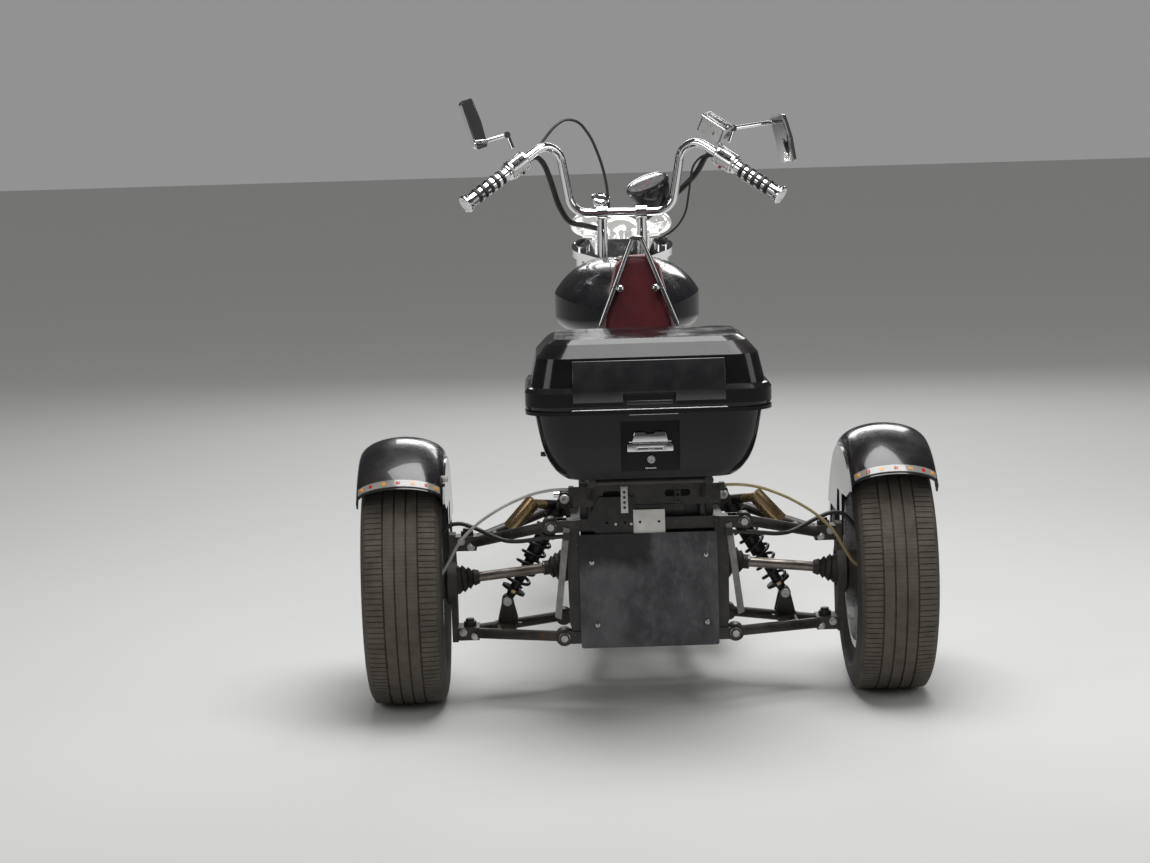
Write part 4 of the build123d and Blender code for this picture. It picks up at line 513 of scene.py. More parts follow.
def stand(piece, place, direction, roll=0.0, size=1.0):
    # Moves a shape made round the origin to a place, its +Z along the direction
    turn = Vector(direction).to_track_quat("Z", "Y").to_matrix().to_4x4()
    turn = turn @ Matrix.Rotation(radians(roll), 4, "Z")
    piece.data.transform(Matrix.Translation(Vector(place)) @ turn @ Matrix.Scale(size, 4))
    return piece


def cloned(source):
    copy = source.copy()
    copy.data = source.data.copy()
    bpy.context.collection.objects.link(copy)
    return copy


def standCopies(source, spots):
    # One copy of the shape at each (place, direction), the shape itself dropped
    copies = [stand(cloned(source), *spot) for spot in spots]
    discard(source)
    return merge(copies)


def level(direction, axis):
    # The part of the direction at right angles to the axis, one long
    direction = Vector(direction)
    return (direction - axis * axis.dot(direction)).normalized()


def seat(piece, origin, acrossAxis, upAxis):
    # Moves a shape made round the origin so that its X and Z lie along the two axes
    upAxis = Vector(upAxis).normalized()
    acrossAxis = level(acrossAxis, upAxis)
    turn = Matrix((acrossAxis, upAxis.cross(acrossAxis), upAxis)).transposed().to_4x4()
    piece.data.transform(Matrix.Translation(Vector(origin)) @ turn)
    return piece


def chain(points):
    # String of corners drawn one after another, ready to be spun or extruded
    clearSelection()
    bpy.ops.mesh.primitive_plane_add(size=0.01)
    piece = bpy.context.object
    edit(piece)
    bpy.ops.mesh.merge(type="CENTER")
    spots = [Vector(point) for point in points]
    bpy.ops.transform.translate(value=spots[0])
    for before, after in zip(spots, spots[1:]):
        bpy.ops.mesh.extrude_vertices_move(TRANSFORM_OT_translate={"value": after - before})
    bpy.ops.object.mode_set(mode="OBJECT")
    return piece


def prism(corners, run, bevel=0.0, steps=2):
    # Flat outline given a thickness along run, its edges eased
    piece = chain(corners)
    edit(piece)
    bpy.ops.mesh.edge_face_add()
    bpy.ops.mesh.extrude_region_move(TRANSFORM_OT_translate={"value": run})
    orient()
    bpy.ops.object.mode_set(mode="OBJECT")
    if bevel:
        modify(piece, "BEVEL", width=bevel, segments=steps, limit_method="ANGLE", angle_limit=radians(35))
    return piece


def slab(low, high, bevel=0.001, steps=2):
    # Block between two corners, its edges eased
    (left, back, floor), (right, front, top) = low, high
    corners = [(left, back, floor), (right, back, floor), (right, front, floor), (left, front, floor)]
    return prism(corners, (0, 0, top - floor), bevel, steps)


def tablet(halfWidth, halfDepth, low, high, bevel, steps=2):
    # Block centred on the Z axis
    return slab((-halfWidth, -halfDepth, low), (halfWidth, halfDepth, high), bevel, steps)


def wire(points, radius, closed=False):
    # Round bar bent smoothly through its points
    clearSelection()
    bpy.ops.curve.primitive_nurbs_path_add()
    curve = bpy.context.object.data
    curve.splines.clear()
    spline = curve.splines.new("NURBS")
    spline.points.add(len(points) - 1)
    for spot, point in zip(spline.points, points):
        spot.co = (*point, 1)
    spline.order_u = 3
    spline.use_endpoint_u = not closed
    spline.use_cyclic_u = closed
    spline.resolution_u = 5
    curve.bevel_depth = radius
    curve.bevel_resolution = 4
    curve.use_fill_caps = True
    bpy.ops.object.convert(target="MESH")
    return bpy.context.object


def turned(profile, steps):
    # Piece turned on a lathe: profile of (radius, height) spun about +Z
    piece = chain([(radius, 0, height) for radius, height in profile])
    edit(piece)
    bpy.ops.mesh.spin(steps=steps, angle=2 * pi, center=(0, 0, 0), axis=(0, 0, 1))
    orient(1e-5)
    bpy.ops.object.mode_set(mode="OBJECT")
    return piece


# Studio: a broad pale floor under a grey air, one soft lamp overhead and three round the trike
studio = {
    "floorShade": (0.56, 0.56, 0.55),
    "floorReach": 60.0,
    "lamps": {
        "overheadLamp": {"place": (0.3, -0.6, 4.2), "aim": (0, 0, 0.4), "size": (2.4, 3.6), "watts": 190},
        "sideLamp0": {"place": (-4.2, -3.6, 2.6), "aim": (0, -0.5, 0.6), "size": (2.2, 2.2), "watts": 40},
        "sideLamp1": {"place": (4.6, -2.4, 2.2), "aim": (0, -0.3, 0.6), "size": (2.0, 2.4), "watts": 34},
        "sideLamp2": {"place": (0.6, 5.4, 3.2), "aim": (0, 0, 0.8), "size": (3.6, 1.6), "watts": 90},
    },
    "skyLight": 0.34,
    "skyMirrored": 0.07,
    "skySeen": 0.36,
    "skyShade": 0.8,
}


def makeLamp(name, setup):
    bpy.ops.object.light_add(type="AREA", location=setup["place"])
    lamp = bpy.context.object
    lamp.name = name
    lamp.data.shape = "RECTANGLE"
    lamp.data.size, lamp.data.size_y = setup["size"]
    lamp.data.energy = setup["watts"]
    run = Vector(setup["aim"]) - Vector(setup["place"])
    lamp.rotation_euler = run.to_track_quat("-Z", "Y").to_euler()


def makeFloor(setup):
    clearSelection()
    bpy.ops.mesh.primitive_circle_add(vertices=96, radius=setup["floorReach"], fill_type="NGON")
    floor = bpy.context.object
    floor.name = "studioFloor"
    paint = Finish("studioPaint", Specular_IOR_Level=0.2)
    mottle = paint.ramp(paint.noise(1.3, 6), 0.3, 0.7)
    shade = setup["floorShade"]
    tint = paint.blend(mottle * 0.25, tone(*shade), tone(*[value * 0.93 for value in shade]))
    floor.data.materials.append(paint.set(Base_Color=tint, Roughness=0.7 + mottle * 0.1))
    floor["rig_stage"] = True


def makeAir(setup):
    # The air lights the trike, is mirrored darker than that, and is seen as a grey of its own
    world = bpy.data.worlds.new("studioAir")
    world.use_nodes = True
    bpy.context.scene.world = world
    tree = world.node_tree
    path = tree.nodes.new("ShaderNodeLightPath")

    def sky(strength, shade):
        made = tree.nodes.new("ShaderNodeBackground")
        made.inputs["Color"].default_value = tone(shade, shade, shade)
        made.inputs["Strength"].default_value = strength
        return made.outputs[0]

    def mixed(kind, *sources):
        made = tree.nodes.new(kind)
        for socket, source in zip(made.inputs, sources):
            tree.links.new(source, socket)
        return made

    either = mixed("ShaderNodeMath", path.outputs["Is Camera Ray"], path.outputs["Is Transmission Ray"])
    either.operation = "MAXIMUM"
    mirrored = sky(setup["skyMirrored"], setup["skyShade"])
    light = sky(setup["skyLight"], 1)
    unseen = mixed("ShaderNodeMixShader", path.outputs["Is Glossy Ray"], light, mirrored)
    seen = sky(setup["skySeen"], setup["skyShade"])
    whole = mixed("ShaderNodeMixShader", either.outputs[0], unseen.outputs[0], seen)
    tree.links.new(whole.outputs[0], tree.nodes["World Output"].inputs["Surface"])


makeFloor(studio)
for lampName, lampSetup in studio["lamps"].items():
    makeLamp(lampName, lampSetup)
makeAir(studio)
print("studio lit")

# Wheel places, read from the frame
wheels = {}
for wheelName in ("front", "rear_left", "rear_right"):
    low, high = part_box(f"{wheelName}_tyre")
    hub, radius = (low + high) / 2, (high.z - low.z) / 2
    wheels[wheelName] = {"hub": hub, "radius": radius, "half": (high.x - low.x) / 2}
    finishes[f"{wheelName}_tyre"] = tyreRubber(f"{wheelName}Rubber", hub, radius)

# The nodes that each finish goes on; those in two tones are finished further down
nodesOf = {
    "chrome": ("front_wheel", "fork", "handlebar", "grips", "mirrors", "air_cleaner", "exhaust",
               "foot_controls"),
    # The lamp bodies take the glowing chrome, a painted glare
    "glareChrome": ("headlamp", "spot_lamps"), "greyChrome": ("sissy_bar",),
    "alloyWheel": ("rear_left_wheel", "rear_right_wheel"), "castIron": ("uprights", "final_drive"),
    "chassis": ("frame", "rear_subframe", "upper_wishbones", "lower_wishbones", "luggage_rack"),
    "lacquer": ("mudguards", "front_mudguard", "fuel_tank", "side_covers"), "panel": ("rear_panel",),
    "stripLens": ("tail_lamp_strips",), "satinMetal": ("hand_controls",), "vinyl": ("saddle", "backrest"),
    "castAlloy": ("engine_block",), "engineBlack": ("cylinders",), "moulding": ("case_base", "case_lid"),
    "springBlack": ("shock_springs",), "hoseRubber": ("brake_hoses", "bar_cables"),
    **{f"{wheelName}_tyre": (f"{wheelName}_tyre",) for wheelName in wheels},
}


def restyle(nodeName, material):
    nodes[nodeName].data.materials.clear()
    nodes[nodeName].data.materials.append(material)


for finishName, nodeNames in nodesOf.items():
    for nodeName in nodeNames:
        restyle(nodeName, finishes[finishName])
print("nodes finished")

# Car tyres behind and a round one in front: grooves and cross slots cut into one pitch, then repeated
tyreCuts = {
    "rear": {
        "wheels": ("rear_left", "rear_right"), "rim": 0.178, "bead": 0.071, "tread": 0.079, "crown": 0.0022,
        "shoulder": 0.006, "bulgeAt": 0.232, "grooves": (-0.04, -0.0135, 0.0135, 0.04), "grooveWidth": 0.0042,
        "grooveDepth": 0.004, "pitches": 132, "slotShare": 0.17, "slotDepth": 0.0026, "slotFrom": 0.044,
    },
    "front": {
        "wheels": ("front",), "rim": 0.203, "bead": 0.046, "tread": 0.048, "crown": 0.012,
        "shoulder": 0.014, "bulgeAt": 0.262, "grooves": (-0.022, 0.022), "grooveWidth": 0.005,
        "grooveDepth": 0.0045, "pitches": 84, "slotShare": 0.16, "slotDepth": 0.003, "slotFrom": 0.027,
    },
}


def tyreProfile(cuts, radius, half):
    # (across, reach) from the left bead over the tread to the right bead and back along the rim seat
    def crownDrop(across):
        return cuts["crown"] * (across / cuts["tread"]) ** 2

    edgeReach = radius - cuts["crown"] - cuts["shoulder"]
    rim, bulge, bead = cuts["rim"], cuts["bulgeAt"], cuts["bead"]
    side = [(bead - 0.006, rim), (bead, rim + 0.004), (bead + 0.004, rim + 0.016)]
    for turn in (radians(24), radians(46), radians(68)):
        across = half - (half - bead - 0.004) * cos(turn)
        side.append((across, bulge - (bulge - rim - 0.016) * (1 - sin(turn))))
    side.append((half, bulge))
    for turn in (radians(22), radians(44), radians(62), radians(76)):
        across = half - (half - cuts["tread"]) * (1 - cos(turn))
        side.append((across, bulge + (edgeReach - bulge) * sin(turn)))
    side.append((cuts["tread"] + 0.0012, edgeReach + cuts["shoulder"] * 0.55))
    crown = [(-cuts["tread"] * 0.985, radius - crownDrop(cuts["tread"] * 0.985) - 0.0008)]
    for groove in cuts["grooves"]:
        for step, depth in ((-0.5, 0), (-0.38, 1), (0.38, 1), (0.5, 0)):
            across = groove + step * cuts["grooveWidth"]
            crown.append((across, radius - crownDrop(across) - depth * cuts["grooveDepth"]))
    crown.append((cuts["tread"] * 0.985, crown[0][1]))
    left = [(-across, reach) for across, reach in side]
    return left + crown + side[::-1] + [(0.0, rim - 0.001), left[0]]


def makeTyre(wheelName, cuts):
    wheel = wheels[wheelName]
    hub = wheel["hub"]
    profile = tyreProfile(cuts, wheel["radius"] - 0.0004, wheel["half"] - 0.0004)
    tyre = chain([(hub.x + across, hub.y, hub.z + reach) for across, reach in profile])
    pitch = 2 * pi / cuts["pitches"]
    slot = pitch * cuts["slotShare"]
    edit(tyre)
    bpy.ops.mesh.spin(steps=1, angle=slot, center=hub, axis=(1, 0, 0))
    bpy.ops.mesh.spin(steps=1, angle=pitch - slot, center=hub, axis=(1, 0, 0))
    orient(1e-6)

    def inSlot(face):
        centre = face.calc_center_median() - hub
        onRib = all(abs(centre.x - groove) > cuts["grooveWidth"] * 0.5 for groove in cuts["grooves"])
        angle = abs(atan2(centre.y, centre.z))
        reach = sqrt(centre.y ** 2 + centre.z ** 2)
        outer = reach > wheel["radius"] - cuts["crown"] - cuts["shoulder"] - 0.001
        return outer and onRib and angle < slot * 0.95 and abs(centre.x) > cuts["slotFrom"]

    pick(inSlot)
    bpy.ops.mesh.extrude_region_move()
    bpy.ops.transform.resize(value=(1, 1, 1 - cuts["slotDepth"] / wheel["radius"]), center_override=hub)
    bpy.ops.mesh.select_all(action="SELECT")
    steps = cuts["pitches"] - 1
    bpy.ops.mesh.spin(steps=steps, angle=2 * pi - pitch, center=hub, axis=(1, 0, 0), dupli=True)
    orient(2e-5)
    body = nodes[f"{wheelName}_tyre"]["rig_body"]
    settle(tyre, f"{wheelName}TreadedTyre", f"{wheelName}_tyre", body, 40)
    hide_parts(f"{wheelName}_tyre")


for cuts in tyreCuts.values():
    for wheelName in cuts["wheels"]:
        makeTyre(wheelName, cuts)
print("tyres treaded")

# Top case trim: smoked rear panel with its pull, rim beads, latch and lock in the bay, left side stub
caseTrim = {
    "panelHalf": 0.167,
    "panelSide": ((-1.2448, 0.7565), (-1.2449, 0.782), (-1.2395, 0.812), (-1.2235, 0.8462),
                  (-1.214, 0.8462), (-1.2265, 0.7905), (-1.2425, 0.785), (-1.2425, 0.7565)),
    "pullHalf": 0.058, "pullLow": 0.7485, "pullHigh": 0.7755, "pullBack": -1.2449, "pullFront": -1.2405,
    "notchBack": -1.26, "notchLow": 0.74, "notchFront": -1.2432, "barThick": 0.004,
    "gripInset": 0.007, "gripLow": 0.001, "gripHigh": 0.0105,
    "lidBead": [(-0.17, -1.2432, 0.7402), (-0.06, -1.2437, 0.7402), (0.06, -1.2437, 0.7402),
                (0.17, -1.2432, 0.7402)],
    "rimBead": [(-0.045, -1.2437, 0.7285), (0, -1.2438, 0.7285), (0.062, -1.2437, 0.7285)],
    "bayBack": -1.205, "latchZ": 0.654, "lockZ": 0.6245, "stub": (-0.206, -1.06, 0.6235),
    "lock": [(0, 0.0095), (0.0065, 0.0095), (0.0072, 0.0082), (0.0086, 0.0082), (0.0096, 0.006), (0.0096, 0),
             (0, 0)],
    "peg": [(0, 0), (0.0048, 0), (0.0055, 0.001), (0.0055, 0.034), (0.004, 0.036), (0, 0.036)],
}


def makeCaseTrim(trim):
    half, side, thick, inset = trim["panelHalf"], trim["pullHalf"], trim["barThick"], trim["gripInset"]
    low, high, back, front = trim["pullLow"], trim["pullHigh"], trim["pullBack"], trim["pullFront"]
    panel = prism([(-half, y, z) for y, z in trim["panelSide"]], (2 * half, 0, 0), 0.0016, 3)
    cutOut(panel, slab((-side, trim["notchBack"], trim["notchLow"]), (side, trim["notchFront"], high), 0.002))
    settle(panel, "smokedPanel", "smoked", "lid", 30)
    bars = [
        slab((-side, back, high - thick), (side, front, high), 0.0012),
        slab((-side, back, low), (-side + thick, front, high), 0.0012),
        slab((side - thick, back, low), (side, front, high), 0.0012),
    ]
    settle(merge(bars), "pullFrame", "moulding", "lid", 30)
    gripLow, gripHigh = low + trim["gripLow"], low + trim["gripHigh"]
    grip = slab((-side + inset, back, gripLow), (side - inset, front, gripHigh), 0.003, 4)
    settle(grip, "pullGrip", "polishedBlack", "lid", 30)
    settle(wire(trim["lidBead"], 0.0011), "lidBead", "chrome", "lid")
    settle(wire(trim["rimBead"], 0.0009), "rimBead", "chrome", "root")


def twoSided(half, y):
    # Outline from its right half, given from the foot up, with the left half mirrored back down
    outline = [(-half[0][0], half[0][1]), *half] + [(-x, z) for x, z in half[:0:-1]]
    return [(x, y, z) for x, z in outline]


def makeLatch(trim):
    back, z = trim["bayBack"], trim["latchZ"]
    plateHalf = [(0.0515, z - 0.012), (0.0515, z + 0.003), (0.047, z + 0.0075)]
    plate = prism(twoSided(plateHalf, back), (0, -0.009, 0), 0.0022, 3)
    cutOut(plate, slab((-0.031, back - 0.02, z - 0.0085), (0.031, back - 0.0055, z + 0.0015), 0.0046, 4))
    tabHalf = [(0.0405, z + 0.0105), (0.035, z + 0.032), (0.012, z + 0.033), (0.008, z + 0.028)]
    tab = prism(twoSided(tabHalf, back), (0, -0.0125, 0), 0.0022, 3)
    wing = slab((-0.047, back - 0.006, z + 0.0085), (0.047, back, z + 0.0125), 0.0012)
    settle(merge([plate, tab, wing]), "latchPlate", "chrome", "root", 30)
    lock = turned(trim["lock"], 28)
    cutOut(lock, tablet(0.0012, 0.0042, 0.007, 0.02, 0.0004))
    settle(stand(lock, (0.0015, back, trim["lockZ"]), (0, -1, 0)), "latchLock", "satinMetal", "root", 30)
    lip = slab((-0.0125, back - 0.0055, 0.6035), (0.0125, back, 0.6075), 0.0018, 3)
    settle(lip, "latchLip", "satinMetal", "root", 30)
    settle(stand(turned(trim["peg"], 20), trim["stub"], (-1, 0, 0)), "sideStub", "blackPlastic", "root")


makeCaseTrim(caseTrim)
makeLatch(caseTrim)
print("case trimmed")

# Saddle and backrest: padded vinyl, blown up from the solids' shapes, then the backrest piped along its seams
stuffing = {"shrink": 0.003, "pressure": 4.0, "steps": 20, "spill": 0.004, "fill": 0.8}
pads = {
    "saddle": {"voxel": 0.006, "cap": 0.010, **stuffing},
    "backrest": {"voxel": 0.005, "cap": 0.008, **stuffing},
}


def makePad(nodeName, setup):
    low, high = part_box(nodeName)
    pad = cloned(nodes[nodeName])
    for key in [key for key in pad.keys()]:
        del pad[key]
    pad.hide_render = False
    edit(pad)
    bpy.ops.mesh.remove_doubles(threshold=1e-5)
    modify(pad, "REMESH", mode="VOXEL", voxel_size=setup["voxel"])
    edit(pad)
    bpy.ops.transform.shrink_fatten(value=-setup["shrink"])
    bpy.ops.object.mode_set(mode="OBJECT")
    before = [corner.co.copy() for corner in pad.data.vertices]
    activate(pad)
    cloth = pad.modifiers.new("stuffing", "CLOTH")
    cloth.settings.quality = 5
    cloth.settings.use_pressure = True
    cloth.settings.uniform_pressure_force = setup["pressure"]
    cloth.settings.effector_weights.gravity = 0
    cloth.point_cache.frame_start = 1
    cloth.point_cache.frame_end = setup["steps"]
    for step in range(1, setup["steps"] + 1):
        bpy.context.scene.frame_set(step)
    bpy.ops.object.modifier_apply(modifier=cloth.name)
    bpy.context.scene.frame_set(1)
    spill, cap = setup["spill"], setup["cap"]
    for corner, start in zip(pad.data.vertices, before):
        move = corner.co - start
        if move.length > cap:
            corner.co = start + move * (cap / move.length)
        for axis in range(3):
            corner.co[axis] = min(max(corner.co[axis], low[axis] - spill), high[axis] + spill)
    modify(pad, "SUBSURF", levels=1, render_levels=1)
    settle(pad, f"{nodeName}Pad", "vinyl", nodes[nodeName]["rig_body"], 60)
    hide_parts(nodeName)
    return pad


def pipe(pad, name, corners, radius=0.0032, spacing=0.012):
    # Round piping laid on the pad's own skin along the seam
    onSkin = []
    for start, end in zip(corners, corners[1:] + corners[:1]):
        start, end = Vector(start), Vector(end)
        count = max(1, round((end - start).length / spacing))
        for number in range(count):
            found, spot, normal, face = pad.closest_point_on_mesh(start.lerp(end, number / count))
            onSkin.append(spot + normal * radius * 0.35)
    settle(wire(onSkin, radius, closed=True), name, "piping", "root")


padPieces = {nodeName: makePad(nodeName, setup) for nodeName, setup in pads.items()}
print("pads stuffed")
backLow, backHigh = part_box("backrest")
backOutline = [(0.086, 0.848), (0.083, 0.9), (0.076, 0.945), (0.064, 0.992), (0.053, 1.026), (0.027, 1.044)]
backOutline += [(-x, z) for x, z in reversed(backOutline)]
pipe(padPieces["backrest"], "backrestRearPiping", [(x, backLow.y + 0.003, z) for x, z in backOutline])
pipe(padPieces["backrest"], "backrestFrontPiping",
     [(x * 0.94, backHigh.y - 0.004, z * 0.985 + 0.014) for x, z in backOutline])
print("pads piped")

# Fixings: hexagon bolts with washers, dome heads and ringed bolts, modelled once and copied
fixings = {
    "hex": {"head": 0.0085, "height": 0.0065, "bevel": 0.0009, "washer": 0.0115, "washerHeight": 0.0016},
    "dome": [(0, 0.0062), (0.003, 0.0059), (0.0058, 0.0044), (0.0074, 0.0016), (0.0078, 0), (0, 0)],
    "ring": [(0.0045, 0.0042), (0.0088, 0.0042), (0.0105, 0.0026), (0.0112, 0), (0, 0), (0, 0.0012),
             (0.0038, 0.0012), (0.0045, 0.0042)],
}


def makeHexBolt(setup):
    thick, reach = setup["washerHeight"], setup["washer"]
    clearSelection()
    bpy.ops.mesh.primitive_cylinder_add(vertices=6, radius=setup["head"], depth=setup["height"],
                                        location=(0, 0, setup["height"] / 2 + thick))
    head = bpy.context.object
    bpy.ops.object.transform_apply(location=True, rotation=True, scale=True)
    modify(head, "BEVEL", width=setup["bevel"], segments=1)
    washer = [(0, 0), (reach, 0), (reach, thick * 0.7), (reach - 0.0006, thick), (0, thick)]
    return merge([head, turned(washer, 20)])


boltShapes = {
    "hex": makeHexBolt(fixings["hex"]),
    "dome": turned(fixings["dome"], 18),
    "ring": turned(fixings["ring"], 24),
}


def boltGroup(name, shape, finish, body, spots, size=1.0):
    # spots holds a place and a direction for each bolt, and each is turned on a little from the last
    copies = [stand(cloned(boltShapes[shape]), place, direction, number * 17, size)
              for number, (place, direction) in enumerate(spots)]
    return settle(merge(copies), name, finish, body)


def bothSides(pairs, y, direction):
    # Places at (x, z) on the left and the right, at one depth and facing one way
    return [((side * x, y, z), direction) for side in (-1, 1) for x, z in pairs]


rear, front = (0, -1, 0), (0, 1, 0)
rearEnd = {"axleY": -0.775, "shockY": -0.713, "pivots": ((0.225, 0.434), (0.2, 0.171)), "boxHalf": 0.125,
           "bushHalf": 0.019, "pressGap": 0.0003, "lug": 0.006, "shockRadius": 0.016,
           "shockFoot": (0.334, 0.226), "shockTop": (0.19, 0.47),
           "panelBolts": ((-0.132, 0.348), (0.134, 0.359), (-0.122, 0.2), (0.134, 0.2)),
           "upperJoints": ((0.415, 0.372), (0.438, 0.386)), "upperJointBack": 0.026,
           "lowerJoints": ((0.412, 0.158), (0.44, 0.168)), "lowerJointBack": 0.034}
axleY, shockY, pivots = rearEnd["axleY"], rearEnd["shockY"], rearEnd["pivots"]
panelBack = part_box("rear_panel")[0].y
panelSpots = [((x, panelBack, z), rear) for x, z in rearEnd["panelBolts"]]
upperSpots = bothSides(rearEnd["upperJoints"], axleY - rearEnd["upperJointBack"], rear)
lowerSpots = bothSides(rearEnd["lowerJoints"], axleY - rearEnd["lowerJointBack"], rear)
lugBack = axleY - rearEnd["boxHalf"] - rearEnd["bushHalf"] - rearEnd["pressGap"] - rearEnd["lug"]
pivotSpots = bothSides(pivots, lugBack, rear) + bothSides(pivots, 2 * axleY - lugBack, front)
lugReach = rearEnd["shockRadius"] + rearEnd["lug"] + rearEnd["pressGap"]
shockSpots = [((side * x, shockY + end * lugReach, z), (0, end, 0)) for side in (-1, 1) for end in (-1, 1)
              for x, z in (rearEnd["shockFoot"], rearEnd["shockTop"])]
boltGroup("pivotBolts", "hex", "steelFixing", "root", pivotSpots, 1.15)
boltGroup("panelBolts", "dome", "steelFixing", "root", panelSpots, 0.9)
boltGroup("shockBolts", "ring", "whiteZinc", "root", shockSpots, 1.05)
boltGroup("upperJointBolts", "hex", "steelFixing", "root", upperSpots, 0.8)
boltGroup("lowerJointBolts", "hex", "steelFixing", "root", lowerSpots, 0.8)

# Knobs on ears inside the sissy bar, which narrows from its foot to its top
sissyBar = {"half": 0.0925, "foot": 0.88, "top": 1.112, "narrowing": 0.98, "knobZ": 0.968,
            "earBack": -0.7035, "earFront": -0.6895, "earHalf": 0.0035}


def makeKnobs(bar):
    z, back = bar["knobZ"], bar["earBack"]
    inside = bar["half"] - bar["half"] * (z - bar["foot"]) / (bar["top"] - bar["foot"]) * bar["narrowing"]
    knobs = bothSides(((inside - 0.016, z),), back, rear)
    boltGroup("backrestKnobs", "dome", "chrome", "root", knobs, 1.25)
    ears = []
    for side in (-1, 1):
        left, right = sorted((side * (inside + 0.002), side * (inside - 0.02)))
        ears.append(slab((left, back, z - bar["earHalf"]), (right, bar["earFront"], z + bar["earHalf"])))
    settle(merge(ears), "backrestEars", "chrome", "root", 30)


makeKnobs(sissyBar)
print("fixings placed")

# Coil springs, one wire wound round each shock, and the damper body with its white ring inside
springs = {
    "start": 0.034, "endGap": 0.062, "radius": 0.0262, "wire": 0.0039, "turns": 7, "turnSteps": 28,
    "sides": 10,
    "damper": [(0, 0.02), (0.012, 0.02), (0.012, 0.112), (0.0075, 0.118), (0.0075, 0.25), (0, 0.25)],
    "ring": [(0.0122, 0.024), (0.0142, 0.0245), (0.0142, 0.0295), (0.0122, 0.03), (0.0122, 0.024)],
}


def shockLine(side):
    (footX, footZ), (topX, topZ) = rearEnd["shockFoot"], rearEnd["shockTop"]
    return Vector((side * footX, shockY, footZ)), Vector((side * (topX - footX), 0, topZ - footZ))


def makeSpring(side, setup):
    low, run = shockLine(side)
    length = run.length - setup["start"] - setup["endGap"] - 2 * setup["wire"]
    steps = setup["turnSteps"] * setup["turns"]
    clearSelection()
    bpy.ops.mesh.primitive_circle_add(vertices=setup["sides"], radius=setup["wire"], rotation=(pi / 2, 0, 0),
                                      location=(setup["radius"], 0, 0))
    coil = bpy.context.object
    bpy.ops.object.transform_apply(location=True, rotation=True, scale=True)
    modify(coil, "SCREW", axis="Z", angle=2 * pi * setup["turns"], screw_offset=length, steps=steps,
           render_steps=steps, use_merge_vertices=False)
    edit(coil)
    bpy.ops.mesh.fill_holes(sides=0)
    orient()
    bpy.ops.object.mode_set(mode="OBJECT")
    return stand(coil, low + run.normalized() * (setup["start"] + setup["wire"]), run, 40 * side)


coils = merge([makeSpring(side, springs) for side in (-1, 1)])
settle(coils, "coilSprings", "springBlack", "root", 50)
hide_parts("shock_springs")
for side, name in ((-1, "left"), (1, "right")):
    low, run = shockLine(side)
    settle(stand(turned(springs["damper"], 20), low, run), f"{name}DamperBody", "springBlack", "root", 40)
    settle(stand(turned(springs["ring"], 24), low, run), f"{name}DamperRing", "whiteZinc", "root", 40)
print("springs wound")

# Finish in two tones, parted by a mask over the piece's own place
def parted(name, mask, first, second, rough, metal, grain, depth, dirt):
    finish = Finish(name)
    share = mask(finish)
    clouds, film = finish.mottle(dirt)
    one = finish.blend(clouds, tone(*first[0]), tone(*first[1]))
    two = finish.blend(clouds, tone(*second[0]), tone(*second[1]))
    return finish.set(
        Base_Color=finish.blend(film, finish.blend(share, one, two), filmBrown),
        Roughness=rough[0] + share * (rough[1] - rough[0]) + film * 0.3 + clouds * 0.06,
        Metallic=(metal[0] + share * (metal[1] - metal[0])) * (1 - film),
        Normal=finish.bump(finish.noise(grain, 4), depth, 0.5),
    )


def within(value, low, high):
    return (value > low) * (value < high)


def rearHalf(finish):
    return finish.axis("Y") < -0.7425


def betweenBoots(finish):
    return within(finish.curve("ABSOLUTE", finish.axis("X")), 0.243, 0.398)


def leftGauge(finish):
    return finish.axis("X") < -0.03


def stripAndCrossPlate(finish):
    across, height = finish.axis("X"), finish.axis("Z")
    upright = within(across, -0.0605, -0.0435) * (height > 0.4615)
    cross = within(across, -0.0325, 0.0425) * within(height, 0.4115, 0.4695) * (finish.axis("Y") < -0.9215)
    return upright + cross


def rightSide(finish):
    return finish.axis("X") > 0


# Mask, both tones, and roughness, metal, grain, its depth and dirt, of the nodes in two tones
satinBlack = ((0.014, 0.014, 0.014), (0.022, 0.021, 0.02))
twoTones = {
    ("shock_bodies",): (rearHalf, satinBlack, ((0.40, 0.275, 0.14), (0.50, 0.37, 0.215)),
                        (0.32, 0.24), (0.1, 0.9), 600, 0.0002, 0.25),
    ("half_shaft_left", "half_shaft_right"): (
        betweenBoots, ((0.016, 0.015, 0.014), (0.032, 0.029, 0.025)), ((0.2, 0.17, 0.145), (0.36, 0.33, 0.3)),
        (0.5, 0.3), (0.0, 0.8), 300, 0.0004, 0.5),
    ("gauges",): (leftGauge, satinBlack, ((0.8, 0.8, 0.8), (0.66, 0.66, 0.65)),
                  (0.3, 0.08), (0.0, 1.0), 600, 0.0001, 0.1),
    ("plate_bracket",): (stripAndCrossPlate, satinBlack, ((0.7, 0.69, 0.66), (0.6, 0.58, 0.54)),
                         (0.36, 0.4), (0.1, 0.0), 260, 0.0004, 0.3),
    ("handbrake_cables",): (rightSide, ((0.42, 0.42, 0.4), (0.55, 0.54, 0.51)),
                            ((0.34, 0.26, 0.13), (0.45, 0.36, 0.2)), (0.42, 0.42), (0, 0), 760, 0.0005, 0.2),
}
for nodeNames, row in twoTones.items():
    material = parted(f"{nodeNames[0]}Tones", *row)
    for nodeName in nodeNames:
        restyle(nodeName, material)
print("tones parted")

